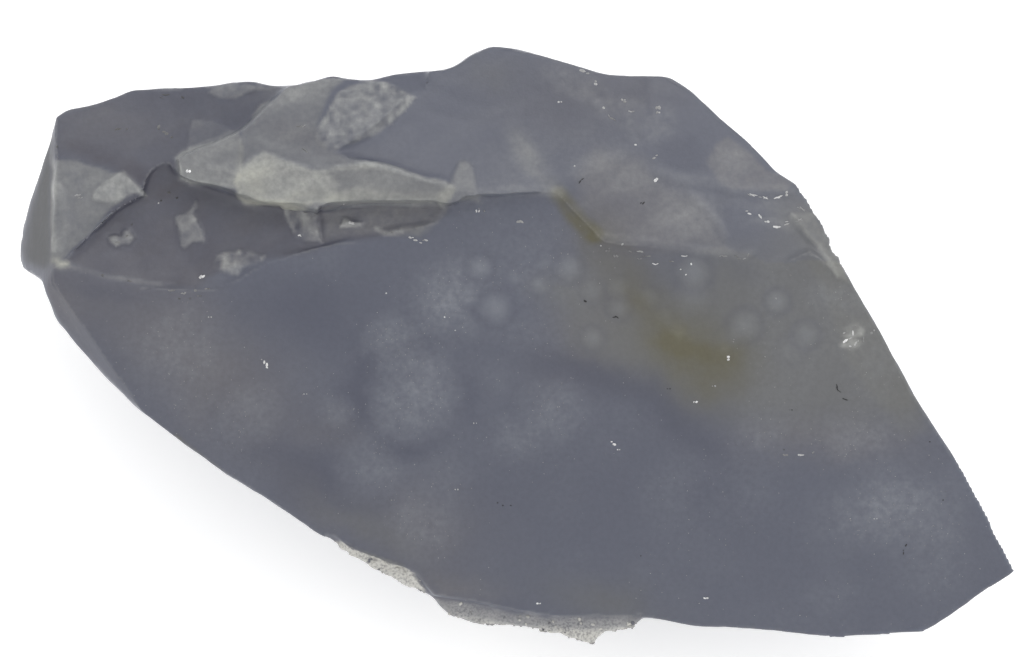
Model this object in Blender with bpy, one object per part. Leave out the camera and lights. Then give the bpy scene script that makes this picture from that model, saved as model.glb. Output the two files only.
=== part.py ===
"""Blue lace agate: one broken piece of a chalcedony vein, lying on its back.

The stone is modelled in the frame of its smooth face, in millimetres: x to the right, y up the face and z out of
it. The empty "face_frame" then tilts that frame, so that the stone lies as it rests, on a small flat spot.
A flat slab of the stone's outline is cut down, the way the real piece broke: the smooth face and each fracture
above it is a cutter with a curved underside, the sides are cut by tilted planes and scooped flake scars, and the
lumpy wall of the vein closes the back.
"""

import math

import bmesh
import bpy
from mathutils import Matrix, Vector, noise

# ---- driving dimensions, in millimetres unless a name says otherwise ----
LENGTH = 90.0  # across the smooth face, left tip to right tip
MM = 0.001 * LENGTH / 90.0  # one millimetre as drawn: the points below are drawn for a length of 90
FACE_TILT_DEG = 15.0  # how far the smooth face leans towards the front
SLAB_TOP = 3.0  # above the smooth face, higher than any ledge
SLAB_BOTTOM = -30.0
VEIN_DEPTH = 22.5  # from the smooth face to the lowest part of the vein wall
THIN_EDGE = 2.5  # what is left of the vein at its thin rim
REST_DEPTH = 20.5  # from the frame's centre down to the flat spot that the stone lies on
FACE_CELL = 2.4  # grid of the smooth face
BACK_CELL = 2.8  # grid of the vein wall
FLAKE_CELL = 1.9  # grid of a fracture
CENTRE = (0.100, -0.760)  # moves the frame's centre so that the stone's box stands over the origin
CUTTER_REACH = 12.0  # how far a cutter stands above what it cuts
HOLLOW_DEPTH = 2.3  # of the dark hollow, below the lip
LUMP_SIZE = 7.0  # spacing of the lumps on the vein wall
WELD_GAP = 0.004  # points closer than this become one

# The outline, clockwise from the left tip: over the top, down the long right edge and back along the bottom.
OUTLINE = [
    (-45.5, 8.5), (-44.6, 12.0), (-43.1, 16.3), (-42.3, 18.7), (-41.9, 20.6), (-40.9, 21.3),
    (-38.5, 21.7), (-36.7, 22.4), (-34.9, 23.1), (-30.5, 23.3), (-27.4, 23.5), (-24.2, 23.9),
    (-21.9, 23.4), (-19.7, 23.6), (-17.0, 24.3), (-13.5, 23.9), (-11.4, 24.5), (-7.0, 24.9),
    (-5.7, 25.2), (-4.3, 26.2), (-2.5, 27.0), (-0.5, 26.9), (2.5, 26.1), (5.7, 25.2),
    (7.9, 24.5), (13.6, 24.3), (15.6, 23.1), (18.5, 20.4), (21.2, 18.1), (23.4, 15.7),
    (25.3, 14.5), (26.7, 12.6), (28.5, 9.2), (30.1, 5.9), (32.8, 1.2), (35.7, -4.3),
    (37.7, -7.4), (39.6, -10.2), (41.5, -13.6), (43.2, -16.9), (45.1, -20.5), (42.3, -22.2),
    (39.1, -24.5), (36.5, -26.1), (33.8, -27.0), (31.4, -26.8), (27.4, -26.3), (21.9, -25.7),
    (15.6, -25.4), (12.2, -24.7), (11.1, -24.7), (10.4, -25.6), (7.8, -25.9), (7.2, -26.7),
    (6.4, -27.1), (5.1, -26.4), (2.9, -25.8), (0.2, -25.3), (-3.7, -25.2), (-6.5, -24.2),
    (-7.7, -22.7), (-10.6, -21.4), (-14.7, -19.3), (-18.8, -16.6), (-23.1, -13.6), (-26.5, -11.6),
    (-30.9, -8.4), (-34.2, -5.9), (-37.3, -3.0), (-39.6, -0.4), (-41.9, 2.4), (-42.7, 4.8),
    (-43.0, 5.8), (-44.9, 7.0),
]

# Where the raised upper layer breaks off above the smooth face, from the right edge to the top left.
LEDGE = [
    (29.2, 7.5), (26.5, 9.4), (24.2, 8.8), (22.4, 7.9), (20.1, 7.5), (17.6, 8.4), (15.6, 8.7),
    (11.1, 8.9), (7.9, 9.2), (5.2, 11.9), (3.4, 13.8), (0.2, 13.7), (-3.4, 13.6), (-5.0, 13.5),
    (-5.7, 12.7), (-7.0, 13.0), (-14.3, 13.0), (-17.0, 12.9), (-18.1, 12.4), (-19.7, 12.9),
    (-23.1, 13.0), (-24.8, 13.6), (-27.4, 14.5), (-29.5, 14.7), (-30.5, 15.4), (-30.9, 17.0),
    (-29.6, 17.9), (-27.4, 18.7), (-25.1, 19.9), (-23.3, 21.7), (-21.4, 23.3),
]
FAR = 60.0  # beyond the outline on every side

FACE_REGION = [*LEDGE, (-20.0, FAR), (-FAR, FAR), (-FAR, -FAR), (FAR, -FAR), (FAR, 7.5)]
EAST_FLAKE = [
    (1.2, 15.0), (2.6, 12.9), (4.6, 10.9), (7.2, 8.1), (11.0, 6.4), (18.0, 5.6), (22.6, 6.7), (26.4, 8.6),
    (29.8, 6.4), (FAR, 4.0), (FAR, FAR), (6.2, FAR), (5.4, 25.2), (3.3, 19.2),
]
NORTH_FLAKE = [
    (-3.2, 11.5), (-6.0, 14.3), (-8.5, 15.0), (-11.3, 16.0), (-16.6, 17.3), (-14.7, 18.6), (-12.0, 20.5),
    (-9.8, 22.7), (-10.1, 24.2), (-10.7, FAR), (11.8, FAR), (11.8, 4.4), (3.8, 9.6),
]
WEDGE_REGION = [
    (-FAR, 9.6), (-1.4, 9.4), (-1.2, 14.6), (-8.8, 16.4), (-15.9, 18.1), (-17.7, 18.8), (-18.1, 20.2),
    (-17.7, 21.6), (-16.6, 23.0), (-16.2, FAR), (-FAR, FAR),
]
ROUGH_PATCH = [(-18.7, 17.4), (-14.0, 16.2), (-8.2, 15.6), (-8.0, FAR), (-17.4, FAR), (-19.0, 20.6)]
WEST_SCAR = [
    (-20.3, FAR), (-20.8, 23.5), (-23.0, 21.4), (-24.9, 19.5), (-27.3, 18.3), (-29.4, 17.6), (-30.8, 16.9),
    (-30.5, 15.9), (-31.6, 14.2), (-33.4, 13.6), (-34.6, 15.0), (-37.5, 15.1), (-40.0, 15.6), (-42.6, 17.2),
    (-FAR, 18.3), (-FAR, FAR),
]
CORNER_FACET = [
    (-FAR, 20.5), (-42.3, 18.9), (-38.0, 17.0), (-34.6, 16.3), (-33.6, 15.0), (-33.9, 13.7), (-34.7, 13.2),
    (-36.7, 12.1), (-41.7, 7.1), (-FAR, 6.5),
]
HOLLOW_WEST = [
    (-41.3, 7.2), (-36.3, 12.2), (-34.0, 13.5), (-33.3, 15.6), (-31.8, 16.6), (-30.5, 15.2),
    (-27.5, 14.3), (-24.7, 13.4), (-23.0, 12.8), (-19.8, 12.7), (-18.0, 12.2), (-14.4, 12.8), (-7.2, 12.8),
    (-5.4, 12.6), (-7.7, 11.0), (-12.5, 10.0), (-18.4, 8.8), (-23.0, 7.4), (-27.3, 5.0), (-34.1, 5.3),
]
HOLLOW_SHORE = [
    (-41.6, 7.3), (-37.5, 6.0), (-34.3, 5.4), (-32.0, 5.5), (-29.6, 4.9), (-27.4, 5.1), (-25.4, 6.9), (-22.9, 7.4),
    (-19.7, 8.2), (-15.6, 9.5), (-12.4, 10.0), (-7.9, 10.9), (-5.4, 12.4),
]
MATRIX_SHOULDER = [
    (-17.0, -17.0), (-14.7, -18.6), (-11.7, -19.6), (-9.4, -20.5), (-7.6, -22.6), (-3.2, -23.4), (0.7, -24.2),
    (3.8, -24.6), (7.6, -24.6), (10.6, -24.6), (11.4, -24.2), (12.5, -30.0), (-10.0, -30.0), (-20.0, -19.0),
]
RIM_CHIP = [(-9.6, -20.4), (-5.5, -21.0), (-3.2, -21.7), (-0.9, -22.8), (1.6, -23.9), (1.0, -26.0), (-8.2, -25.0)]
RIGHT_CHIP = [(26.0, 12.3), (28.4, 8.0), (30.4, 4.4), (34.0, 4.0), (32.0, 14.0)]

# Low domes on the smooth face, where chalcedony grew over buried balls: x, y, radius, height.
DOMES = [
    (-9.7, -5.0, 4.6, 0.42), (-6.4, 4.3, 3.4, 0.22), (-1.8, 3.6, 1.5, 0.16), (-3.3, 7.0, 1.4, 0.15),
    (3.9, -6.8, 4.4, 0.26), (-30.5, -2.0, 7.5, 0.30), (-15.5, -7.0, 3.6, 0.18), (-9.5, -16.5, 5.0, 0.24),
    (14.0, -1.5, 3.5, 0.20), (20.0, 2.1, 2.4, 0.18), (26.2, 0.9, 2.4, 0.20), (30.0, -17.0, 7.0, 0.24),
    (8.0, -16.0, 8.0, 0.16), (24.0, -9.0, 5.0, 0.14), (-25.0, -9.0, 4.0, 0.16),
]

# Flake scars round the sides: the broken plane, steps along it and down it, two rim radii, depth and turn.
SIDE_SCARS = {
    "scar_low_left": ("break_low_left", -6.0, 7.0, 13.0, 8.0, 2.2, 25.0),
    "scar_low_front": ("break_low_left", 15.0, 12.0, 11.0, 9.0, 1.9, 70.0),
    "scar_front": ("break_front", 6.0, 9.0, 12.0, 8.0, 1.7, 10.0),
    "scar_front_right": ("break_front_right", 2.0, 7.0, 14.0, 7.5, 2.1, 0.0),
    "scar_right_tip": ("break_right", -13.0, 6.0, 9.0, 6.0, 1.6, 40.0),
    "scar_right": ("break_right", 3.0, 11.0, 12.0, 8.0, 2.3, 80.0),
    "scar_right_high": ("break_right_high", 3.0, 8.0, 11.0, 7.0, 2.0, 15.0),
    "scar_back_right": ("break_back", -9.0, 7.0, 11.0, 7.0, 1.9, 0.0),
    "scar_back": ("break_back", 13.0, 9.0, 10.0, 8.0, 1.6, 60.0),
    "scar_back_left": ("break_back_left", -3.0, 6.0, 11.0, 7.0, 1.9, 20.0),
    "scar_left": ("break_left_low", 1.0, 4.0, 7.0, 6.0, 1.3, 30.0),
}

# Planes that break the sides off: a point on the plane and its outward direction.
SIDE_PLANES = {
    "break_left": ((-42.3, 7.3, -1.1), (-0.93, 0.10, 0.35)),
    "break_left_low": ((-45.8, 8.4, -9.6), (-0.85, -0.06, -0.52)),
    "bevel_left": ((-40.5, 3.1, -0.6), (-0.72, -0.48, 0.50)),
    "break_low_left": ((-26.0, -12.0, -1.6), (-0.49, -0.72, -0.48)),
    "break_front": ((0.0, -25.2, -6.0), (-0.10, -0.80, -0.59)),
    "break_front_right": ((24.0, -26.3, -1.4), (0.05, -0.84, -0.54)),
    "break_tip": ((40.2, -24.0, -1.2), (0.40, -0.68, -0.61)),
    "break_right": ((37.0, -6.4, -1.2), (0.72, 0.39, -0.57)),
    "break_right_high": ((22.5, 16.8, -3.2), (0.60, 0.60, -0.53)),
    "break_back": ((4.0, 25.9, -5.5), (0.06, 0.86, -0.50)),
    "break_back_left": ((-30.0, 23.4, -7.0), (-0.16, 0.84, -0.52)),
}


# ---- surfaces, as heights above the smooth face at x, y ----

def bump(x, y, scale, seed):
    """Smooth noise from -1 to 1, about one lump for each scale millimetres."""
    return noise.noise(Vector((x / scale, y / scale, seed)))


def away(x, y, start, end):
    """Distance from x, y to the straight run from start to end."""
    start, run, point = Vector(start), Vector(end) - Vector(start), Vector((x, y))
    along = min(1.0, max(0.0, (point - start).dot(run) / run.length_squared))
    return (point - start - along * run).length


def face_height(x, y):
    """The smooth face: a faint crown, broad waves and the low domes."""
    height = 0.25 - 0.0003 * x * x - 0.0008 * y * y + 0.22 * bump(x, y, 11.0, 3.0)
    for dome_x, dome_y, radius, rise in DOMES:
        height += rise * math.exp(-((x - dome_x) ** 2 + (y - dome_y) ** 2) / (0.6 * radius * radius))
    return height


def north_height(x, y):
    """The large flake at the top middle: it falls back from the ledge and is hollowed a little."""
    hollow = 0.8 * math.exp(-((x + 2.0) / 9.0) ** 2 - ((y - 20.0) / 5.0) ** 2)
    return 1.5 - 0.30 * (y - 13.5) - 0.05 * x - hollow + 0.12 * bump(x, y, 5.0, 11.0)


def east_height(x, y):
    """The large flake at the top right: level at the ledge, rolling off towards the rim."""
    run = max(0.0, 0.45 * (x - 3.0) + 0.89 * (y - 10.0))
    return 0.75 - 0.02 * (x - 3.0) - 0.010 * run * run + 0.10 * bump(x, y, 6.0, 15.0)


def wedge_height(x, y):
    """The pale wedge: a roof with its ridge along the ledge, low towards its tip at the left."""
    roof = 2.3 - 0.50 * (y - 16.1) + 0.07 * (x + 20.0) * (x < -20.0)
    lip = 1.2 + 0.32 * (y - 13.0) + 0.05 * (x + 24.0) * (x < -24.0)
    return min(roof, lip) + 0.14 * bump(x, y, 3.0, 21.0)


def patch_height(x, y):
    """The rough pale patch, which stands a little above the flakes on both sides."""
    step = 0.5 + 0.5 * math.tanh((y - 23.9) / 0.4)
    return 2.25 - 0.44 * (y - 16.1) - 0.03 * (x + 14.0) - 0.9 * step + 0.12 * bump(x, y, 1.9, 25.0)


def west_height(x, y):
    """The dark flake at the top left."""
    hollow = 0.9 * math.exp(-((x + 31.0) / 7.0) ** 2 - ((y - 20.5) / 3.0) ** 2)
    return -1.3 - 0.34 * (y - 17.0) + 0.10 * (x + 30.0) - hollow + 0.15 * bump(x, y, 3.5, 31.0)


def corner_height(x, y):
    """The pale three-cornered facet at the left."""
    return -0.7 + 0.06 * (x + 41.6) - 0.16 * (y - 7.3) + 0.08 * bump(x, y, 3.0, 41.0)


def hollow_height(x, y):
    """The scooped hollow under the wedge: it leaves the smooth face gently and is deepest below the lip."""
    shore = min(away(x, y, a, b) for a, b in zip(HOLLOW_SHORE, HOLLOW_SHORE[1:]))
    return -0.08 - HOLLOW_DEPTH * (1.0 - math.exp(-shore / 4.5)) + 0.15 * bump(x, y, 3.0, 51.0)


def shoulder_height(x, y):
    """The pale matrix that stands out below the front rim."""
    out = -0.24 * (x + 9.4) - 0.97 * (y + 20.5)
    return -0.7 - 0.40 * max(0.0, out) - 0.30 * bump(x, y, 1.6, 71.0)


def rim_chip_height(x, y):
    return -0.15 + 0.42 * (y + 21.0) + 0.12 * (x + 9.0)


def right_chip_height(x, y):
    return 0.1 - 0.75 * (0.86 * (x - 28.4) + 0.50 * (y - 8.0))


def vein_wall(x, y):
    """The back of the stone: a shallow bowl with botryoidal lumps."""
    out = min(1.0, ((x + 5.0) / 56.0) ** 2 + ((y - 3.0) / 34.0) ** 2)
    depth = THIN_EDGE + (VEIN_DEPTH - THIN_EDGE) * (1.0 - out) ** 0.6
    nearest = noise.voronoi(Vector((x / LUMP_SIZE, y / LUMP_SIZE, 4.0)))[0][0]
    level = 0.16 * (y - 3.0) * (1.0 - out)
    return -depth - level + 1.6 * min(1.0, nearest) ** 2 + 0.8 * bump(x, y, 10.0, 81.0)


FACE_CUTS = [
    ("smooth_face", FACE_REGION, face_height, FACE_CELL),
    ("north_flake", NORTH_FLAKE, north_height, FLAKE_CELL),
    ("east_flake", EAST_FLAKE, east_height, FLAKE_CELL),
    ("wedge_roof", WEDGE_REGION, wedge_height, FLAKE_CELL),
    ("rough_patch", ROUGH_PATCH, patch_height, FLAKE_CELL),
    ("west_scar", WEST_SCAR, west_height, FLAKE_CELL),
    ("corner_facet", CORNER_FACET, corner_height, FLAKE_CELL),
    ("hollow", HOLLOW_WEST, hollow_height, FLAKE_CELL),
    ("matrix_shoulder", MATRIX_SHOULDER, shoulder_height, FLAKE_CELL),
    ("rim_chip", RIM_CHIP, rim_chip_height, FLAKE_CELL),
    ("right_chip", RIGHT_CHIP, right_chip_height, FLAKE_CELL),
]


# ---- building ----

def collection(name):
    made = bpy.data.collections.new(name)
    bpy.context.scene.collection.children.link(made)
    return made


def add_object(name, mesh, where, frame):
    """An object in the frame of the smooth face."""
    made = bpy.data.objects.new(name, mesh)
    where.objects.link(made)
    made.parent = frame
    return made


def cutter(name, mesh, where, frame):
    made = add_object(name, mesh, where, frame)
    made.hide_render = True
    made.display_type = "WIRE"
    return made


def prism_mesh(name, outline, low, high):
    """A flat outline, thickened from one height to another."""
    curve = bpy.data.curves.new(name, "CURVE")
    curve.dimensions = "2D"
    curve.fill_mode = "BOTH"
    curve.extrude = (high - low) / 2 * MM
    spline = curve.splines.new("POLY")
    spline.points.add(len(outline) - 1)
    for point, (x, y) in zip(spline.points, outline):
        point.co = (x * MM, y * MM, 0.0, 1.0)
    spline.use_cyclic_u = True
    flat = bpy.data.objects.new(name + "_curve", curve)
    bpy.context.scene.collection.objects.link(flat)
    bpy.context.view_layer.update()
    graph = bpy.context.evaluated_depsgraph_get()
    mesh = bpy.data.meshes.new_from_object(flat.evaluated_get(graph))
    bpy.data.objects.remove(flat)
    mesh.transform(Matrix.Translation((0.0, 0.0, (low + high) / 2 * MM)))
    form = bmesh.new()
    form.from_mesh(mesh)
    bmesh.ops.remove_doubles(form, verts=form.verts, dist=0.001 * MM)
    bmesh.ops.recalc_face_normals(form, faces=form.faces)
    form.to_mesh(mesh)
    form.free()
    return mesh


def blanket_mesh(name, box, cell, height, reach):
    """A block over box = (low x, low y, high x, high y) with one curved side that follows height(x, y)."""
    low_x, low_y, high_x, high_y = box
    columns = max(1, round((high_x - low_x) / cell))
    rows = max(1, round((high_y - low_y) / cell))
    form = bmesh.new()
    bmesh.ops.create_grid(form, x_segments=columns, y_segments=rows, size=0.5)
    for vertex in form.verts:
        x = low_x + (vertex.co.x + 0.5) * (high_x - low_x)
        y = low_y + (vertex.co.y + 0.5) * (high_y - low_y)
        vertex.co = Vector((x, y, height(x, y))) * MM
    grown = bmesh.ops.extrude_face_region(form, geom=form.faces[:])
    for item in grown["geom"]:
        if isinstance(item, bmesh.types.BMVert):
            item.co.z = reach * MM
    bmesh.ops.recalc_face_normals(form, faces=form.faces)
    mesh = bpy.data.meshes.new(name)
    form.to_mesh(mesh)
    form.free()
    return mesh


def dish_mesh(name, radius, across, depth, rings=6, spokes=30):
    """A shallow dish with an open flare above its rim, along +Z: what a flake takes off when it springs away."""
    ball = (radius * radius + depth * depth) / (2 * depth)
    reach = 1.35 * radius
    profile = []
    for i in range(rings + 1):
        r = reach * i / rings
        profile.append((r, ball - depth - math.sqrt(ball * ball - r * r)))
    profile += [(reach + 3.0, profile[-1][1] + CUTTER_REACH), (0.0, profile[-1][1] + CUTTER_REACH)]
    form = bmesh.new()
    points = [form.verts.new(Vector((r, 0.0, z)) * MM) for r, z in profile]
    edges = [form.edges.new(pair) for pair in zip(points, points[1:])]
    bmesh.ops.spin(form, geom=points + edges, cent=(0, 0, 0), axis=(0, 0, 1), angle=math.tau, steps=spokes)
    bmesh.ops.remove_doubles(form, verts=form.verts, dist=0.01 * MM)
    bmesh.ops.scale(form, vec=(1.0, across / radius, 1.0), verts=form.verts)
    bmesh.ops.recalc_face_normals(form, faces=form.faces)
    mesh = bpy.data.meshes.new(name)
    form.to_mesh(mesh)
    form.free()
    return mesh


def block_mesh(name, size):
    """A cube whose lower face is at the origin: everything above that plane."""
    form = bmesh.new()
    bmesh.ops.create_cube(form, size=size * MM, matrix=Matrix.Translation((0.0, 0.0, size / 2 * MM)))
    mesh = bpy.data.meshes.new(name)
    form.to_mesh(mesh)
    form.free()
    return mesh


def point_along(thing, place, direction, along=0.0, down=0.0, turn_deg=0.0):
    """Stands an object on the plane through place, its +Z along direction, moved along and down that plane."""
    normal = Vector(direction).normalized()
    level = normal.cross(Vector((0.0, 0.0, 1.0))).normalized()
    steepest = level.cross(normal)
    if steepest.z > 0:
        steepest.negate()
    thing.location = (Vector(place) + along * level + down * steepest) * MM
    aim = normal.to_track_quat("Z", "Y").to_matrix()
    thing.rotation_euler = (aim @ Matrix.Rotation(math.radians(turn_deg), 3, "Z")).to_euler()


def boolean(thing, tool, operation="DIFFERENCE"):
    modifier = thing.modifiers.new(f"{operation.lower()} {tool.name}", "BOOLEAN")
    modifier.operation = operation
    modifier.object = tool


def flake(name, region, height, cell, where, frame):
    """A cutter that takes off what lies above height(x, y) inside region."""
    inside = [(min(46.5, max(-46.5, x)), min(29.0, max(-29.0, y))) for x, y in region]
    xs, ys = zip(*inside)
    box = (min(xs) - 1.0, min(ys) - 1.0, max(xs) + 1.0, max(ys) + 1.0)
    blanket = cutter(name, blanket_mesh(name, box, cell, height, CUTTER_REACH), where, frame)
    fence_mesh = prism_mesh(name + "_fence", region, -CUTTER_REACH, CUTTER_REACH - 1.0)
    boolean(blanket, cutter(name + "_fence", fence_mesh, where, frame), "INTERSECT")
    return blanket


def chalcedony():
    material = bpy.data.materials.new("blue_chalcedony")
    material.use_nodes = True
    shader = material.node_tree.nodes["Principled BSDF"]
    shader.inputs["Base Color"].default_value = (0.150, 0.158, 0.190, 1.0)
    shader.inputs["Roughness"].default_value = 0.5
    shader.inputs["Metallic"].default_value = 0.0
    return material


def build():
    for leftover in list(bpy.data.objects):
        bpy.data.objects.remove(leftover)
    shown = collection("blue_lace_agate")
    cutters = collection("cutters")
    frame = bpy.data.objects.new("face_frame", None)
    shown.objects.link(frame)
    frame.rotation_euler.x = math.radians(FACE_TILT_DEG)
    frame.location = Vector((*CENTRE, REST_DEPTH)) * MM

    stone = add_object("agate", prism_mesh("agate", OUTLINE, SLAB_BOTTOM, SLAB_TOP), shown, frame)
    stone.data.materials.append(chalcedony())
    reach = (-47.0, -30.0, 47.0, 30.0)
    back = blanket_mesh("vein_wall", reach, BACK_CELL, vein_wall, SLAB_BOTTOM - 2.0)
    cuts = [cutter("vein_wall", back, cutters, frame)]
    for name, (place, direction) in SIDE_PLANES.items():
        cuts.append(cutter(name, block_mesh(name, 2 * FAR), cutters, frame))
        point_along(cuts[-1], place, direction)
    for name, (plane, along, down, radius, across, depth, turn) in SIDE_SCARS.items():
        cuts.append(cutter(name, dish_mesh(name, radius, across, depth), cutters, frame))
        point_along(cuts[-1], *SIDE_PLANES[plane], along, down, turn)
    for name, region, height, cell in FACE_CUTS:
        cuts.append(flake(name, region, height, cell, cutters, frame))
    floor = cutter("rest_cut", block_mesh("rest_cut", 2 * FAR), cutters, None)
    floor.rotation_euler.x = math.pi
    for tool in [*cuts, floor]:
        boolean(stone, tool)
    weld = stone.modifiers.new("close seams", "WELD")
    weld.merge_threshold = WELD_GAP * MM


build()
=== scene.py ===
"""Blue lace agate, dressed for a close look.

The plain solid of the stone is copied, given an even fine mesh, smoothed between its ridges and then
carved with what a broken chalcedony vein shows: low domes and balls under the smooth face, ripples and
small steps on the fractures, grains and lumps on the rind. Masks for its tones are stored on the mesh,
and one material reads them. All of this is worked out in millimetres in the frame of the smooth face:
x to the right, y up the face, z out of it.
"""
import itertools
import math

import bmesh
import bpy
import numpy as np
from bpy.props import FloatProperty, FloatVectorProperty, PointerProperty
from mathutils import Matrix, Vector


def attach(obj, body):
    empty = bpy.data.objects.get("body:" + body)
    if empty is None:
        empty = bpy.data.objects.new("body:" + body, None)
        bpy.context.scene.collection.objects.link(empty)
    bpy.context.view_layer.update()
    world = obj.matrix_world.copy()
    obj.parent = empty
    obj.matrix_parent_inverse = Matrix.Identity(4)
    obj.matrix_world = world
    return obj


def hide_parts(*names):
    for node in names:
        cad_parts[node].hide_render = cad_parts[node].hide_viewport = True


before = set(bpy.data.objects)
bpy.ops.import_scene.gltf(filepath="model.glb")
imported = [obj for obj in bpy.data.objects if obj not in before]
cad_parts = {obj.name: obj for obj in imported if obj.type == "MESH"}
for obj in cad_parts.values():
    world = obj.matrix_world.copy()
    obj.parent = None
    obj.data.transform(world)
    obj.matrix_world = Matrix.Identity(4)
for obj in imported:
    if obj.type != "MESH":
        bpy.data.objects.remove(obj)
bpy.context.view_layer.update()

bl_info = {
    "name": "Blue lace agate",
    "version": (1, 0, 0),
    "blender": (4, 5, 0),
    "location": "View3D > Sidebar > Agate",
    "description": "Dresses the plain solid of a broken agate with relief, tones, rind and a plain studio",
    "category": "Add Mesh",
}

TRIANGLES = 192000  # of the stone's mesh, at most
THINNED_BELOW = 0.10  # of a normal's z: only there does the mesh lose faces to stay under that
WELD_GAP = 0.002  # millimetres, between points of the plain solid that are one
VALLEY_DEPTH = (0.003, 0.012)  # millimetres, from what counts as flat to a valley that is filled
FACE_TILT = math.radians(15.0)
FACE_CENTRE = Vector((0.100, -0.760, 20.5))  # millimetres above the middle of the stone's base
FACE_FRAME = (
    Matrix.Translation(FACE_CENTRE * 0.001) @ Matrix.Rotation(FACE_TILT, 4, "X") @ Matrix.Scale(0.001, 4)
)
UPWARDS = np.array((0.0, math.sin(FACE_TILT), math.cos(FACE_TILT)))  # away from the floor, in that frame
AIM = Vector((-0.50, 1.49, 0.0))  # the place on the face that the camera looks at
LAMP_PLACE = (0.25, 0.30, 0.75)  # metres
LAMP_SIZE = 0.55  # metres
FLOOR_REACH = 2.0  # metres from its middle to each side

# Where one kind of surface passes into the next: the value at which that starts, then where it is over.
FACING_UP = (0.15, 0.45)  # of a normal's z, from the sides to the face
FACING_BACK = (-0.60, -0.74)  # of an evened normal's z, from the sides to the wall of the vein
WALL_HEIGHT = (10.0, 6.0)  # above the floor, from the sides down to the wall of the vein
FACE_DEPTH = (-8.0, -5.5)  # below the face, from the sides up to the tones of the face and its ledges
FACING_LEFT = -0.3  # of a normal's x, below which it belongs to the blunt end
RIM_TOP = -0.25  # the rind on the front rim keeps this far below the face
RIM_DEPTH = (-0.4, -0.9)  # below the face, over which its lowest patch sets in
END_DEPTH = (-13.0, -5.0)  # below the face, from the lace bands up to the plain tone of the blunt end
REST_DEPTH = (-19.0, -18.0)  # straight down, from the flat spot that the stone rests on to the lumps
FLECK_DEPTH = -4.0  # flecks sit on points of the mesh above this

# A fleck is a few chips, set off along it, turned askew, and smaller and duller by chance.
FLECK_PARTS = 3
FLECK_OFFSET = 0.25  # of the fleck's length, at most, for the second chip, and twice that for the third
CHIP_LENGTH = 0.30  # of the fleck's length, from a chip's middle to its tip
CHIP_WIDTH = 0.34  # of the fleck's width, from a chip's middle to its side
CHIP_HEIGHT = 0.05  # millimetres
CHIP_SHARE = (0.5, 1.0)  # of that size, and of the fleck's brightness
CHIP_ASKEW_DEG = 35.0
FLECK_CONTRAST = 3.0  # power that spreads the tones of flecks

UPPER_SHARE = 0.6  # of the shade, warm and green tones, on the upper layer
STREAK_DEG = 24.0  # direction of the long streaks on the broken surfaces
BALL_RIM = (1.65, 0.40)  # distance and width of the dark rim of a ball, in radii
DOME_RIM = (1.15, 0.22)  # the same of a dome
# painted shade: a dome's rim is darkest on the side away from this direction of the light
LIT_SIDE = (0.8, 0.6)  # direction, from the middle of a dome, in which its rim is weakest
NORTH_STRIKE = (-3.0, 31.0)  # the blow that the ripples on the left of the upper layer run round
EAST_STRIKE = (12.0, 30.0)  # the same on the right
STRIKE_BORDER = 7.0  # x where the one takes over from the other
SWIRL_CENTRE = (6.0, -4.0, 6.0)  # that the ripples on the sides run round

# ---- places on the face, drawn on a grid that counts steps to the right and down ----
GRID_STEP = 0.0905  # millimetres
GRID_CENTRE = (517.5, 345.0)  # where x and y are 0


def on_face(across, down):
    """A place on the grid as x and y, to a tenth of a millimetre."""
    return round((across - GRID_CENTRE[0]) * GRID_STEP, 1), round((GRID_CENTRE[1] - down) * GRID_STEP, 1)


def in_mm(steps, digits=2):
    """A size on the grid, in millimetres."""
    return round(steps * GRID_STEP, digits)


def drawn(*places):
    """A line or an outline through places on the grid."""
    return [on_face(*place) for place in places]


UPPER = drawn(
    (30, 264), (76, 267), (103, 275), (138, 282), (160, 284), (190, 290), (215, 285), (236, 268), (266, 262),
    (295, 256), (315, 251), (346, 238), (380, 233), (430, 224), (455, 206), (478, 194), (510, 192),
    (548, 193), (566, 199), (585, 223), (606, 241), (640, 249), (676, 249), (700, 251), (724, 247),
    (745, 253), (768, 263), (790, 263), (812, 259), (838, 263), (1000, 200), (1000, -100), (-100, -100),
    (-100, 262),
)
WEST = drawn(
    (52, 140), (58, 118), (90, 104), (130, 90), (160, 86), (210, 84), (250, 83), (284, 84), (265, 104),
    (256, 115), (241, 130), (205, 144), (184, 151), (172, 158), (178, 176), (150, 196), (140, 186),
    (120, 172), (90, 160),
)
TROUGH = drawn(
    (50, 142), (80, 141), (104, 148), (128, 158), (150, 166), (176, 160), (181, 182), (170, 196), (148, 198),
    (138, 186), (118, 172), (98, 167), (74, 160), (52, 154),
)
HOLLOW = drawn(
    (64, 258), (80, 246), (113, 208), (134, 194), (148, 196), (178, 180), (189, 184), (205, 184), (237, 190),
    (245, 201), (300, 206), (345, 203), (412, 206), (441, 204), (449, 206), (436, 222), (400, 236),
    (370, 238), (346, 240), (315, 251), (295, 254), (266, 258), (236, 266), (215, 272), (196, 286),
    (160, 284), (132, 280), (106, 275), (80, 268),
)
POCKET = drawn(
    (322, 206), (441, 204), (444, 212), (436, 224), (420, 236), (398, 234), (376, 232), (346, 236),
    (324, 240),
)
CORNER = drawn(
    (52, 160), (76, 160), (98, 168), (112, 174), (124, 172), (140, 186), (147, 196), (134, 194), (114, 206),
    (100, 220), (86, 238), (64, 256), (52, 262), (50, 210),
)
CORNER_CHIP = drawn(
    (92, 199), (95, 189), (108, 180), (120, 173), (131, 178), (137, 187), (147, 197), (134, 194), (116, 204),
    (104, 203),
)
SIDE = drawn(
    (49, 140), (36, 180), (25, 226), (19, 250), (26, 262), (46, 269), (52, 262), (51, 210), (50, 160),
)
BEVEL = drawn(
    (46, 272), (56, 290), (65, 306), (80, 334), (98, 362), (90, 362), (72, 342), (54, 318), (44, 298),
)
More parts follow.
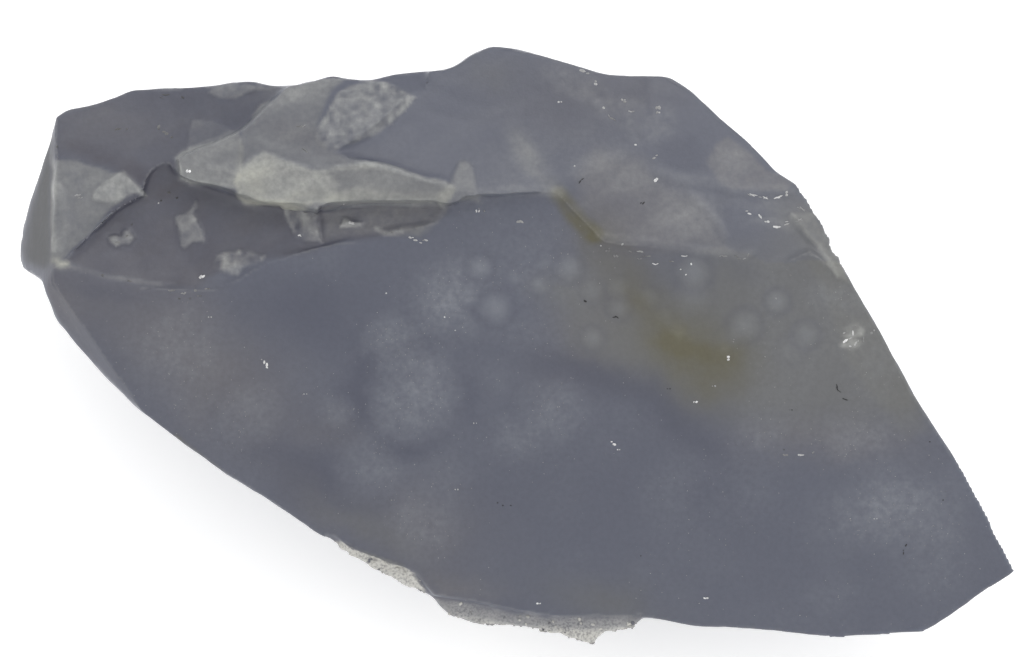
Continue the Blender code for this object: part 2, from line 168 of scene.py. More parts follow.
TONGUE = drawn(
    (176, 157), (184, 151), (205, 144), (225, 137), (238, 132), (243, 146), (244, 158), (242, 167),
    (238, 178), (238, 190), (221, 186), (205, 184), (189, 184), (181, 179), (178, 168),
)
WEDGE = drawn(
    (241, 130), (253, 122), (256, 115), (261, 106), (273, 100), (285, 88), (301, 84), (313, 80), (325, 78),
    (345, 79), (332, 90), (322, 110), (316, 128), (318, 140), (330, 150), (356, 160), (392, 166), (364, 168),
    (325, 172), (292, 163), (270, 156), (256, 154), (246, 164), (238, 180),
)
WEDGE_TOP = drawn((285, 88), (301, 84), (325, 78), (345, 79), (332, 90), (324, 104), (300, 104), (280, 102))
LIP = drawn(
    (237, 183), (239, 174), (244, 168), (249, 163), (256, 157), (264, 154), (272, 157), (280, 160),
    (293, 164), (311, 170), (325, 172), (345, 167), (365, 164), (385, 166), (401, 172), (421, 178),
    (445, 183), (456, 188), (449, 203), (441, 203), (365, 202), (321, 202), (303, 205), (293, 204),
    (281, 203), (269, 201), (255, 201), (245, 202), (240, 197),
)
LIP_BRIGHT = drawn(
    (237, 183), (239, 174), (244, 168), (249, 163), (256, 157), (264, 154), (272, 157), (280, 160),
    (293, 164), (311, 170), (325, 173), (338, 184), (336, 196), (321, 202), (303, 205), (293, 204),
    (281, 203), (269, 201), (255, 201), (245, 202), (240, 197),
)
LIP_GREEN = drawn(
    (321, 203), (330, 192), (365, 189), (400, 191), (441, 192), (452, 190), (449, 203), (441, 203),
    (365, 202),
)
FIN = drawn(
    (443, 211), (449, 204), (457, 201), (473, 200), (481, 204), (479, 198), (473, 168), (467, 162),
    (461, 162), (455, 172), (450, 184), (440, 192), (438, 202),
)
ROUGH = drawn(
    (315, 138), (317, 128), (325, 114), (331, 104), (339, 93), (352, 85), (371, 81), (385, 82), (400, 88),
    (415, 98), (405, 110), (389, 126), (375, 136), (355, 142), (344, 146), (334, 150), (323, 147),
)
SCALE_UP = drawn((187, 150), (192, 120), (211, 121), (233, 131), (215, 139), (200, 146))
SCALE_A = drawn(
    (281, 204), (285, 218), (293, 232), (297, 238), (309, 242), (322, 242), (317, 228), (319, 206),
)
SCALE_B = drawn(
    (175, 216), (187, 214), (192, 208), (195, 200), (196, 208), (193, 215), (197, 220), (202, 230),
    (204, 242), (193, 242), (185, 249), (182, 246), (179, 234),
)
SCALE_C = drawn(
    (109, 238), (115, 235), (121, 238), (123, 231), (129, 229), (134, 238), (130, 244), (122, 243),
    (116, 247), (111, 243),
)
SCALE_D = drawn(
    (214, 268), (217, 254), (240, 250), (264, 256), (262, 262), (244, 268), (238, 276), (222, 272),
)
SCALE_E = drawn((341, 229), (345, 218), (352, 222), (363, 224), (360, 227), (345, 228))
RIM_CHIP_TOP = drawn(
    (208, 91), (213, 87), (231, 83), (255, 85), (276, 87), (255, 91), (235, 96), (223, 98), (213, 94),
)
PALE_NORTH = drawn((440, 178), (490, 150), (530, 150), (556, 190), (500, 192), (478, 192), (470, 172))
MOTTLED = drawn(
    (543, 70), (570, 64), (594, 72), (600, 86), (622, 98), (650, 102), (672, 108), (674, 128), (656, 146),
    (638, 140), (624, 128), (608, 118), (592, 106), (568, 94), (548, 86),
)
DEEP_A = drawn(
    (548, 90), (572, 96), (594, 108), (616, 124), (634, 142), (628, 150), (600, 140), (566, 124), (548, 108),
)
DEEP_B = drawn((600, 84), (640, 90), (676, 92), (690, 104), (672, 104), (640, 98), (612, 94))
DEEP_C = drawn((654, 142), (690, 134), (706, 150), (708, 166), (716, 180), (690, 178), (662, 172))
DEEP_V = drawn((712, 190), (731, 191), (733, 208), (726, 234), (719, 214))
LILAC_TRIANGLE = drawn(
    (707, 162), (716, 144), (728, 136), (749, 153), (767, 169), (794, 183), (786, 190), (731, 189),
    (718, 182),
)
LILAC_SCAR = drawn(
    (596, 150), (640, 160), (660, 180), (700, 200), (718, 226), (724, 248), (676, 248), (640, 247),
    (606, 238), (590, 224), (576, 200), (578, 176),
)
SLIVER = drawn(
    (790, 214), (812, 212), (826, 232), (840, 262), (848, 282), (838, 278), (824, 254), (806, 234),
)
SCRATCH = drawn((840, 345), (844, 330), (856, 323), (864, 330), (862, 342), (854, 350))
GREEN_ZONE = drawn(
    (536, 286), (556, 306), (566, 330), (574, 352), (595, 367), (629, 378), (655, 378), (668, 390),
    (697, 402), (722, 412), (742, 420), (790, 424), (850, 424), (900, 420), (928, 412), (1010, 420),
    (1010, 180), (800, 190), (760, 240), (700, 252), (640, 262), (600, 262), (570, 270),
)
EAST_RIM = drawn(
    (790, 190), (812, 205), (842, 262), (880, 330), (930, 430), (905, 440), (850, 360), (820, 280),
    (790, 230), (760, 200),
)
LEDGES = drawn(
    (174, 162), (174, 150), (205, 140), (250, 118), (264, 102), (320, 90), (410, 92), (420, 110), (360, 146),
    (400, 164), (484, 186), (486, 206), (430, 210), (330, 210), (240, 206), (232, 196), (190, 190),
    (176, 182),
)
RIND_LOW = drawn(
    (430, 596), (446, 600), (470, 606), (500, 612), (530, 616), (562, 618), (600, 618), (640, 616),
    (644, 626), (630, 640), (600, 650), (560, 646), (510, 632), (470, 622), (440, 610),
)
LIP_FOLD = drawn((272, 166), (284, 172), (298, 176), (314, 188))
LIP_LOBE = drawn((246, 174), (249, 184), (262, 190))
RIND_TOP = drawn((430, 600), (470, 609), (530, 618), (600, 620), (644, 618))
RIND_STRIP = drawn(
    (306, 528), (330, 540), (356, 551), (388, 563), (412, 571), (424, 586), (420, 602), (396, 590),
    (360, 566), (318, 544), (296, 530),
)
RIM_CHIP_ZONE = drawn(
    (414, 570), (440, 576), (470, 584), (500, 596), (536, 606), (524, 613), (496, 608), (462, 603),
    (434, 597), (422, 586),
)
STREAK_LINE = drawn((558, 196), (565, 204), (572, 212), (581, 223), (594, 234))
STREAK_CORE = drawn((565, 205), (573, 214), (582, 224))
STAIN_LINE = drawn((594, 234), (610, 262), (630, 292), (648, 316), (664, 336))
LIGHT_STREAK = drawn((514, 134), (521, 146), (534, 164), (542, 174), (556, 189))
LIP_TOP = drawn(
    (244, 168), (249, 163), (256, 157), (264, 154), (280, 160), (311, 170), (325, 172), (345, 167),
    (365, 164), (385, 166), (401, 172), (421, 178), (445, 183),
)
LIP_RIM = drawn(
    (239, 176), (237, 184), (240, 197), (245, 201), (255, 201), (269, 201), (281, 203), (293, 204),
    (303, 204), (312, 201),
)
LIP_RIM_EAST = drawn((312, 201), (345, 202), (380, 202), (441, 203))
WEDGE_RIM = drawn(
    (178, 170), (176, 157), (184, 151), (205, 144), (241, 130), (253, 122), (256, 115), (261, 106),
    (268, 103),
)
TONGUE_RIM = drawn((178, 168), (181, 179), (189, 184), (205, 184), (221, 186), (237, 190))
TONGUE_FOLD = drawn((208, 166), (214, 169), (224, 169), (236, 174))
WEDGE_FOLD = drawn((258, 138), (272, 146), (290, 150), (306, 150))
NORTH_RIM = drawn((481, 193), (510, 190), (540, 190), (558, 192))
SCAR_RIM = drawn((598, 236), (629, 240), (673, 244), (695, 251), (724, 252), (740, 258), (752, 253))
EAST_RIDGE = drawn((660, 173), (689, 181), (716, 182), (731, 189), (790, 190))
V_LINE = drawn((691, 196), (704, 207), (719, 224), (724, 236))
SLIVER_LINE = drawn((791, 216), (806, 233), (824, 253), (838, 277))
CORNER_RIM = drawn((50, 150), (54, 182), (54, 210), (53, 250))
CORNER_BAND = drawn((56, 186), (62, 208), (63, 228), (57, 250))
TROUGH_LIP = drawn((62, 266), (86, 271), (106, 276), (132, 281), (160, 284))
EDGE_LINE = drawn((176, 438), (220, 476), (260, 505), (300, 532), (340, 548), (400, 568))
STREAK_WASH = drawn((596, 240), (612, 256), (630, 276), (646, 300), (664, 326))
POCKET_ARC = drawn((377, 230), (388, 234), (401, 232))

# for each tone: across, down, half width, half height, turn in degrees, share
CLOUDS = {
    "milk": [
        (181, 352, 54, 40, -20, 0.5), (250, 417, 30, 26, 0, 0.2), (218, 436, 30, 18, -30, 0.16),
        (337, 411, 18, 16, 0, 0.42), (369, 462, 34, 26, 0, 0.3), (425, 524, 42, 36, 0, 0.3),
        (456, 478, 24, 22, 0, 0.22), (556, 412, 28, 28, 0, 0.4), (512, 440, 26, 20, 0, 0.36),
        (446, 300, 34, 38, 20, 0.56), (494, 384, 26, 20, 0, 0.22), (526, 336, 36, 20, 0, 0.3),
        (530, 262, 60, 50, 0, 0.36), (888, 508, 54, 26, 12, 0.62), (838, 290, 22, 18, 0, 0.5),
        (831, 600, 26, 18, 0, 0.2), (669, 499, 26, 30, 0, 0.14), (737, 492, 26, 34, 0, 0.14),
        (944, 550, 40, 50, 0, 0.32), (860, 436, 60, 18, 4, 0.34), (770, 440, 34, 16, -10, 0.28),
        (404, 350, 40, 24, 0, 0.4), (700, 540, 30, 26, 0, 0.06), (880, 360, 26, 40, -20, 0.3),
    ],
    "warm": [
        (830, 438, 90, 24, 0, 0.8), (160, 330, 110, 56, -30, 0.75), (230, 400, 80, 50, -35, 0.55),
        (425, 530, 60, 44, -20, 0.6), (330, 430, 30, 22, 0, 0.4), (600, 330, 60, 44, 30, 0.7),
        (60, 300, 30, 34, 0, 0.5), (320, 500, 60, 22, -38, 0.35), (610, 240, 50, 40, 0, 0.5),
        (560, 100, 70, 40, 0, 0.45), (110, 130, 60, 26, 0, 0.8), (640, 90, 70, 30, 0, 0.5),
        (460, 588, 40, 16, -12, 0.6),
    ],
    "green": [
        (640, 290, 50, 26, 20, -0.4), (360, 520, 70, 18, -33, 0.45), (600, 600, 60, 22, -10, 0.4),
        (490, 70, 26, 18, 0, 0.5),
    ],
    "pale": [
        (850, 340, 60, 44, 0, 0.035), (214, 160, 30, 10, 22, 0.03), (290, 96, 24, 8, 10, 0.08),
        (776, 222, 24, 7, 4, 0.2), (600, 160, 40, 26, 0, 0.07), (628, 174, 24, 18, 0, 0.06),
        (690, 224, 32, 18, 0, 0.13), (664, 90, 24, 16, 0, 0.045), (560, 120, 50, 40, 0, 0.03),
        (735, 160, 18, 12, 0, 0.14), (772, 205, 26, 8, -6, 0.12), (570, 76, 30, 10, -10, 0.08),
        (110, 130, 50, 20, 0, 0.04), (700, 200, 60, 30, 0, 0.05), (460, 588, 36, 10, -12, 0.05),
    ],
    "shade": [
        # the first four ring the big dome, darkest at its lower left: partly its own deeper blue, partly
        # painted shade away from the light
        (350, 398, 20, 42, -14, 0.44), (402, 453, 42, 13, -4, 0.36), (462, 392, 9, 34, 10, 0.34),
        (412, 352, 26, 8, 12, 0.3), (330, 478, 60, 20, -35, 0.42), (330, 330, 70, 30, -20, 0.35),
        (300, 300, 60, 22, 0, 0.3), (490, 354, 40, 10, -8, 0.14), (580, 372, 56, 15, -22, 0.52),
        (650, 402, 60, 18, -25, 0.44), (704, 442, 46, 20, -30, 0.38), (710, 500, 50, 40, 0, 0.3),
        (480, 490, 60, 40, 0, 0.16), (600, 480, 80, 60, 0, 0.2), (280, 462, 60, 24, -38, 0.4),
        (100, 290, 50, 10, -12, 0.3), (650, 276, 40, 12, -20, 0.2), (740, 270, 20, 16, 0, 0.2),
    ],
    "stain": [
        (702, 358, 50, 38, -6, 0.8), (668, 342, 24, 22, 0, 0.5), (738, 362, 24, 20, 0, 0.34),
        (636, 296, 26, 18, -45, 0.26), (625, 592, 30, 16, 0, 0.14),
    ],
    "cream": [
        (676, 330, 9, 8, 0, 0.1), (729, 350, 5, 5, 0, 0.1), (59, 265, 5, 6, 0, 0.75),
        (251, 180, 11, 18, 0, 0.34), (296, 199, 46, 5, 0, 0.26), (536, 164, 9, 28, 33, 0.08),
    ],
    "hollow": [(304, 140, 34, 14, -20, 0.4)],
}

# across, down, radius, share
BALLS = [
    (480, 268, 9, 0.9), (513, 277, 6, 0.5), (540, 285, 7, 0.6), (495, 308, 12, 0.95), (568, 268, 10, 0.8),
    (593, 291, 8, 0.4), (618, 287, 8, 0.55), (619, 307, 8, 0.65), (649, 298, 7, 0.55), (593, 338, 8, 0.6),
    (693, 272, 12, 0.8), (693, 296, 13, 0.35), (744, 326, 11, 0.8), (777, 302, 8, 0.8), (806, 335, 9, 0.65),
    (729, 340, 9, 0.3), (663, 318, 7, 0.3), (470, 330, 10, 0.3), (545, 262, 7, 0.25), (860, 300, 9, 0.3),
    (790, 350, 9, 0.3), (470, 296, 8, 0.3),
]

# across, down, radius, share
DOMES = [
    (411, 397, 48, 0.85), (388, 342, 30, 0.42), (446, 298, 38, 0.42), (556, 412, 38, 0.3),
    (516, 438, 28, 0.22), (369, 464, 40, 0.28), (425, 524, 42, 0.22), (250, 417, 32, 0.24),
    (181, 352, 54, 0.16), (888, 508, 48, 0.16), (860, 434, 34, 0.16), (740, 492, 34, 0.1),
    (669, 499, 32, 0.1), (337, 411, 20, 0.26),
]

# across, down, length, width, turn in degrees, tone from dark 0 to white 1; the bright dashes along steps and
# rims are painted glints, the others the stone's own flecks
FLECKS_AND_GLINTS = [
    (614, 445, 7, 4, -40, 1), (618, 450, 3, 2, 0, 0.9), (266, 366, 8, 4, -60, 0.95),
    (262, 361, 3, 2, 0, 0.8), (539, 603, 5, 3, 0, 1), (706, 598, 6, 3, 0, 1), (695, 401, 5, 3, 30, 1),
    (202, 277, 8, 4, 50, 1), (188, 171, 5, 5, 0, 1), (186, 180, 3, 2, 0, 0.8), (158, 204, 3, 3, 0, 1),
    (584, 301, 7, 3, -45, 0), (616, 318, 9, 2, -15, 0), (669, 389, 3, 2, 0, 0.05), (497, 502, 3, 2, 0, 0),
    (503, 504, 3, 2, 0, 0), (511, 504, 2.5, 2, 0, 0.05), (640, 556, 2.5, 2, 0, 0.05), (792, 410, 3, 2, 0, 0),
    (785, 450, 2, 2, 0, 0.1), (729, 358, 6, 4, 30, 0.95), (714, 387, 4, 3, 0, 0.8), (574, 165, 3, 3, 0, 1),
    (559, 102, 4, 3, 0, 0.9), (595, 83, 5, 6, 80, 0.85), (584, 70, 12, 5, -20, 0.75),
    (605, 108, 6, 4, 0, 0.85), (612, 118, 10, 3, -35, 0.7), (626, 101, 6, 4, -20, 0.8),
    (630, 111, 8, 2, 0, 0.8), (659, 107, 6, 7, 0, 0.75), (658, 113, 4, 3, 0, 0.8), (636, 144, 5, 3, 0, 0.95),
    (654, 158, 7, 3, 55, 0.8), (655, 180, 6, 5, 50, 1), (580, 182, 8, 2, 35, 0.15),
    (642, 204, 7, 2, 40, 0.15), (519, 221, 10, 4, -15, 0.8), (752, 196, 12, 2, -3, 0.85),
    (766, 197, 12, 2, -3, 0.9), (779, 197, 10, 2.5, 4, 0.95), (787, 194, 6, 4, 60, 0.9),
    (751, 213, 8, 3, -25, 0.9), (760, 217, 10, 3, -25, 0.95), (768, 221, 6, 4, 0, 0.9),
    (776, 228, 12, 4, 10, 1), (786, 223, 10, 2.5, 30, 0.85), (799, 220, 14, 2, 10, 0.75),
    (803, 209, 14, 2, -15, 0.7), (602, 245, 4, 3, 0, 0.9), (608, 250, 5, 3, 20, 0.6),
    (622, 244, 6, 3, 20, 0.75), (616, 255, 6, 3, -30, 0.7), (630, 251, 8, 2, -10, 0.7),
    (641, 251, 10, 3, -12, 0.75), (648, 256, 8, 2, 0, 0.6), (655, 264, 9, 2, 0, 0.95),
    (672, 262, 6, 2, 10, 0.6), (684, 255, 9, 2, 0, 0.85), (692, 265, 3, 4, 0, 1), (687, 274, 4, 2, 40, 1),
    (680, 270, 3, 2, 0, 0.95), (640, 260, 5, 2, 0, 0.6), (724, 255, 8, 2, -10, 0.7),
    (738, 258, 8, 2, -15, 0.65), (748, 256, 8, 2, 30, 0.7), (846, 341, 12, 4, 35, 1),
    (852, 334, 10, 3, 60, 0.9), (857, 344, 9, 2.5, 75, 0.85), (843, 333, 5, 2.5, 0, 0.75),
    (850, 346, 6, 3, 10, 0.95), (873, 331, 7, 5, 40, 0.7), (863, 338, 6, 2, 80, 0.7),
    (409, 237, 7, 4, -30, 0.9), (416, 240, 8, 3, -10, 0.85), (425, 241, 8, 3, 10, 0.8),
    (390, 233, 8, 2, 0, 0.6), (344, 205, 2.5, 3, 0, 0.9), (352, 224, 12, 4, -8, 0.85),
    (300, 236, 4, 3, 0, 0.95), (77, 196, 8, 3, 15, 0.8), (80, 198, 6, 2, 0, 0.7), (118, 242, 6, 5, 0, 0.6),
    (127, 236, 7, 4, 60, 0.6), (132, 226, 5, 2, 60, 0.5), (172, 291, 8, 3, -5, 0.6),
    (184, 293, 7, 3, 5, 0.65), (195, 291, 6, 4, 0, 0.7), (206, 290, 6, 3, 15, 0.6), (178, 297, 5, 2, 0, 0.5),
    (190, 298, 5, 2, 0, 0.5), (200, 296, 5, 2, 0, 0.6), (103, 275, 6, 2, -10, 0.55),
    (130, 281, 6, 2, -5, 0.55), (168, 192, 6, 4, 0, 0.5), (176, 198, 5, 3, 20, 0.4),
    (162, 200, 4, 3, 0, 0.4), (159, 126, 9, 5, 40, 0.6), (166, 133, 8, 5, -10, 0.55),
    (172, 137, 5, 4, 0, 0.5), (118, 128, 8, 3, 30, 0.55), (125, 130, 6, 2, 70, 0.5),
    (165, 94, 12, 2, 0, 0.5), (182, 97, 8, 2, -20, 0.45), (77, 72, 2, 2, 0, 0.5), (56, 146, 6, 4, 30, 0.5),
    (306, 152, 9, 2, -25, 0.6), (300, 126, 14, 2, 8, 0.65), (800, 455, 9, 3, 10, 0.85),
    (786, 455, 6, 3, -10, 0.7), (812, 452, 6, 2, 20, 0.7), (776, 298, 4, 3, 0, 0.7),
    (838, 389, 10, 1.5, -60, 0.1), (845, 400, 12, 1.5, -10, 0.1), (478, 212, 3, 5, 0, 0.9),
    (484, 210, 3, 3, 0, 0.7), (905, 545, 6, 2, 60, 0.15), (903, 553, 5, 2, 60, 0.2),
    (944, 500, 3, 2, 0, 0.1), (700, 605, 3, 2, 0, 0.8), (455, 330, 2.5, 2, 0, 0.9),
    (445, 316, 3, 3, 0, 0.95), (386, 292, 3, 2.5, 0, 0.9), (305, 395, 2.5, 2, 0, 0.8),
    (210, 316, 3, 2.5, 0, 0.8), (640, 590, 2, 2, 0, 0.7), (930, 442, 3, 2, 0, 0.1),
    (474, 424, 2, 3, 0, 0.85), (457, 490, 3, 3, 0, 0.85), (392, 500, 3, 2, 0, 0.7),
    (725, 546, 2, 2, 0, 0.75), (850, 520, 3, 2, 0, 0.75), (875, 520, 2.5, 2, 0, 0.8),
]

# for each tone: outline, share, softness of the outline in millimetres, how much finer grain shows
ZONES = {
    "green": [
        (GREEN_ZONE, 0.80, 5.0, 0.0), (POCKET, 0.55, 0.8, 0.3), (CORNER, 0.70, 0.4, 0.2),
        (WEDGE, 0.60, 0.5, 0.0), (TONGUE, 0.80, 0.4, 0.0), (LIP, 0.9, 0.3, 0.0), (ROUGH, 0.40, 0.3, 0.0),
        (EAST_RIM, 0.3, 1.5, 0.0),
    ],
    "hollow": [(HOLLOW, 0.62, 0.8, 0.15), (WEST, 0.34, 0.9, 0.25), (TROUGH, 0.42, 1.2, 0.0)],
    "pale": [
        (POCKET, 0.10, 0.8, 0.4), (CORNER, 0.22, 0.3, 0.2), (CORNER_CHIP, 0.30, 0.3, 0.5),
        (TONGUE, 0.30, 0.2, 0.25), (WEDGE, 0.13, 0.6, 0.1), (WEDGE_TOP, 0.10, 0.8, 0.2),
        (LIP, 0.19, 0.3, 0.2), (LIP_BRIGHT, 0.38, 0.9, 0.25), (ROUGH, 0.31, 0.4, 1.0),
        (SCALE_UP, 0.10, 0.3, 0.2), (SCALE_A, 0.28, 0.25, 0.9), (SCALE_B, 0.30, 0.25, 0.4),
        (SCALE_C, 0.40, 0.3, 0.6), (SCALE_D, 0.20, 0.4, 1.4), (SCALE_E, 0.50, 0.25, 0.5),
        (RIM_CHIP_TOP, 0.24, 0.3, 0.4), (PALE_NORTH, 0.05, 2.4, 0.2), (MOTTLED, 0.07, 1.6, 0.9),
        (LILAC_TRIANGLE, 0.08, 0.5, 0.5), (LILAC_SCAR, 0.06, 2.4, 0.3), (SCRATCH, 0.26, 0.5, 1.2),
        (BEVEL, 0.05, 0.6, 0.3),
    ],
    "cream": [
        (LIP_BRIGHT, 0.12, 0.9, 0.3), (LIP_GREEN, 0.17, 0.9, 0.3), (FIN, 0.22, 0.6, 0.1),
        (SLIVER, 0.14, 0.3, 0.5),
    ],
    "shade": [
        (DEEP_A, 0.35, 1.6, 0.2), (DEEP_B, 0.35, 1.2, 0.2), (DEEP_C, 0.45, 1.0, 0.2),
        (DEEP_V, 0.40, 0.6, 0.2),
    ],
    "warm": [(LILAC_TRIANGLE, 0.9, 0.4, 0.2), (LILAC_SCAR, 0.9, 2.2, 0.1)],
}

# for each tone: line, share, width and softness in millimetres
STROKES = {
    "stain": [
        (STREAK_LINE, 0.80, 0.7, 0.9), (STREAK_CORE, 0.30, 0.5, 0.7), (STAIN_LINE, 0.16, 1.2, 3.8),
        (STREAK_WASH, 0.26, 1.2, 2.2), (EDGE_LINE, 0.45, 0.1, 0.6),
    ],
    "cream": [(LIGHT_STREAK, 0.09, 0.1, 1.6), (LIP_LOBE, 0.16, 0.3, 1.0), (LIP_RIM, 0.50, 0.15, 0.30)],
    "hollow": [(LIP_FOLD, 0.30, 0.1, 0.7)],
    "pale": [
        (LIP_RIM_EAST, 0.22, 0.1, 0.3), (LIP_TOP, 0.20, 0.1, 0.30), (WEDGE_RIM, 0.26, 0.1, 0.30),
        (TONGUE_RIM, 0.24, 0.1, 0.30), (TONGUE_FOLD, 0.18, 0.1, 0.3), (WEDGE_FOLD, 0.10, 0.1, 0.5),
        (NORTH_RIM, 0.16, 0.2, 0.7), (SCAR_RIM, 0.10, 0.1, 0.6), (EAST_RIDGE, 0.08, 0.1, 0.9),
        (V_LINE, 0.07, 0.1, 0.6), (SLIVER_LINE, 0.26, 0.1, 0.3), (CORNER_RIM, 0.30, 0.1, 0.3),
        (CORNER_BAND, 0.14, 0.4, 0.5), (TROUGH_LIP, 0.14, 0.1, 0.3), (POCKET_ARC, 0.35, 0.1, 0.3),
    ],
}

# thin flakes: outline, height and roughness in millimetres
PLATES = [
    (ROUGH, 0.05, 0.10), (SCALE_A, 0.30, 0.05), (SCALE_B, 0.20, 0.03), (SCALE_C, 0.25, 0.06),
    (SCALE_D, 0.12, 0.08), (SCALE_E, 0.20, 0.03), (CORNER_CHIP, 0.25, 0.06), (SCRATCH, -0.10, 0.10),
    (SLIVER, 0.10, 0.03), (SCALE_UP, 0.15, 0.02), (RIM_CHIP_TOP, 0.15, 0.05), (MOTTLED, 0.0, 0.05),
    (FIN, 0.15, 0.02), (POCKET, 0.15, 0.03),
]

# raised lines: line, height and width in millimetres
FOLDS = [
    (LIP_TOP, 0.16, 0.6), (LIP_RIM, 0.14, 0.5), (TONGUE_FOLD, 0.12, 0.5), (WEDGE_FOLD, 0.10, 0.8),
    (EAST_RIDGE, 0.10, 0.9), (V_LINE, 0.08, 0.6), (SCAR_RIM, 0.08, 0.6), (SLIVER_LINE, 0.10, 0.5),
    (CORNER_BAND, 0.12, 0.7),
]


# ---- sizes and colours that a user would change ----

def colour(label, words, value):
    """A colour in the panel, linear."""
    limits = {"subtype": "COLOR", "size": 3, "min": 0.0, "max": 1.0}
    return FloatVectorProperty(name=label, description=words, default=value, **limits)


def amount(label, words, value, low=0.0, high=1.0):
    """A number in the panel, held between its limits."""
    return FloatProperty(name=label, description=words, default=value, min=low, max=high)


class AgateShape(bpy.types.PropertyGroup):
    cell: amount("Cell", "Edge length of the fine mesh, in millimetres", 0.24, 0.15, 2.0)
    ripple: amount("Ripple", "Height of the ripples on the fractures, in millimetres", 0.02, 0.0, 0.3)
    ball: amount("Ball", "Height of the largest ball under the smooth face, in millimetres", 0.16, 0.0, 1.0)
    step: amount("Step", "Height of the small steps in the dark hollow, in millimetres", 0.10, 0.0, 0.6)
    lump: amount("Lump", "Height of the lumps on the back, in millimetres", 0.45, 0.0, 2.0)
    grit: amount("Grit", "Height of the grains on the rind, in millimetres", 0.14, 0.0, 0.6)


class AgateTones(bpy.types.PropertyGroup):
    body: colour("Body", "Blue-grey chalcedony of the smooth face", (0.073, 0.079, 0.108))
    warm: colour("Warm", "Lilac grey towards the blunt end", (0.086, 0.083, 0.096))
    green: colour("Green", "Greenish grey towards the thin upper rim", (0.104, 0.105, 0.104))
    milk: colour("Milk", "Milky clouds and balls", (0.201, 0.213, 0.236))
    # the shade tone is also painted shade on the domes' side away from the light
    shade: colour("Shade", "Deeper blue round the balls, and veins", (0.045, 0.049, 0.076))
    stain: colour("Stain", "Olive stain", (0.080, 0.073, 0.042))
    hollow: colour("Hollow", "Dark glassy fracture", (0.052, 0.049, 0.064))
    # the pale tone is also painted light on the walls of the ledges
    pale: colour("Pale", "Bruised, pale fracture", (0.330, 0.335, 0.320))
    cream: colour("Cream", "Yellowish white, thin and bruised", (0.360, 0.360, 0.310))
    rind: colour("Rind", "Matrix grown on the rim and the back", (0.480, 0.472, 0.444))
    # the fleck tone is also the white of the painted glints
    fleck_and_glint: colour("Fleck", "White flecks", (0.850, 0.850, 0.850))


class AgateStage(bpy.types.PropertyGroup):
    sky: amount("Sky", "Strength of the even light from all round", 1.08, 0.0, 5.0)
    key: amount("Key", "Power of the large soft lamp, in watts", 1.2, 0.0, 100.0)
    height: amount("Elevation", "Height of the camera above the horizon, in degrees", 75.0, 0.0, 90.0)
    distance: amount("Distance", "Camera to stone, in metres", 2.0, 0.1, 5.0)
    width: amount("Width", "Width of the view at the smooth face, in millimetres", 92.67, 20.0, 500.0)


# ---- plain numbers on many points at once ----

def ease(low, high, value):
    """0 below low, 1 above high, smooth between."""
    part = np.clip((value - low) / (high - low), 0.0, 1.0)
    return part * part * (3.0 - 2.0 * part)


def random_at(cells, seed):
    """A fixed random number from 0 to 1 for each whole-number cell."""
    key = (cells @ np.array([73856093, 19349663, 83492791]) + 2654435 * seed) & 0x7FFFFFFF
    key = ((key ^ (key >> 13)) * 1274126177) & 0x7FFFFFFF
    return ((key ^ (key >> 15)) & 0xFFFF) / 65535.0


def grain(points, size, seed, octaves=1):
    """Smooth random values, mostly from -1 to 1, with lumps about size millimetres across."""
    total = np.zeros(len(points))
    for octave in range(octaves):
        place = points * (2.0 ** octave / size) + 31.7 * seed
        cell = np.floor(place).astype(np.int64)
        part = place - cell
        part = part * part * (3.0 - 2.0 * part)
        for corner in itertools.product((0, 1), repeat=3):
            weight = np.prod(np.where(corner, part, 1.0 - part), axis=1)
            total += weight * (2.0 * random_at(cell + np.array(corner), seed + octave) - 1.0) / 2.0 ** octave
    return total


def lumps(points, size, seed):
    """Distance to the nearest of scattered centres, as a share of size: 0 at a centre."""
    place = points / size
    cell = np.floor(place).astype(np.int64)
    nearest = np.full(len(points), 9.0)
    for corner in itertools.product((-1, 0, 1), repeat=3):
        near = cell + np.array(corner)
        jitter = np.stack([random_at(near, seed + k) for k in range(3)], axis=1)
        nearest = np.minimum(nearest, np.linalg.norm(near + 0.15 + 0.7 * jitter - place, axis=1))
    return nearest


def away_from(xy, line):
    """Distance of each point to a line of straight runs."""
    nearest = np.full(len(xy), 1e9)
    for a, b in zip(np.array(line[:-1]), np.array(line[1:])):
        run = b - a
        along = np.clip(((xy - a) @ run) / max(run @ run, 1e-9), 0.0, 1.0)
        nearest = np.minimum(nearest, np.linalg.norm(xy - a - along[:, None] * run, axis=1))
    return nearest


def within(xy, outline, soft=0.3):
    """1 inside a closed outline, 0 outside, blended over soft millimetres."""
    x, y = xy.T
    inside = np.zeros(len(xy), bool)
    for (ax, ay), (bx, by) in zip(outline, outline[1:] + outline[:1]):
        crosses = (ay > y) != (by > y)
        inside ^= crosses & (x < (bx - ax) * (y - ay) / (by - ay if by != ay else 1e-9) + ax)
    edge = away_from(xy, outline + outline[:1])
    return ease(-soft / 2, soft / 2, np.where(inside, edge, -edge))


def patch(xy, middle, wide, high, turn):
    """A soft oval that fades from 1 at its middle."""
    c, s = math.cos(math.radians(turn)), math.sin(math.radians(turn))
    u, v = (xy - middle).T
    return np.exp(-(((c * u + s * v) / wide) ** 2) - ((c * v - s * u) / high) ** 2)


def stroke(xy, line, width, soft):
    """1 on a line of this width, 0 away from it, blended over soft millimetres."""
    return 1.0 - ease(width / 2, width / 2 + soft, away_from(xy, line))


def radii_from(xy, across, down, radius):
    """Each point's offset from a round spot, and its distance as a share of the spot's radius."""
    aside = xy - on_face(across, down)
    return aside, np.linalg.norm(aside, axis=1) / in_mm(radius)


# ---- the fine mesh ----

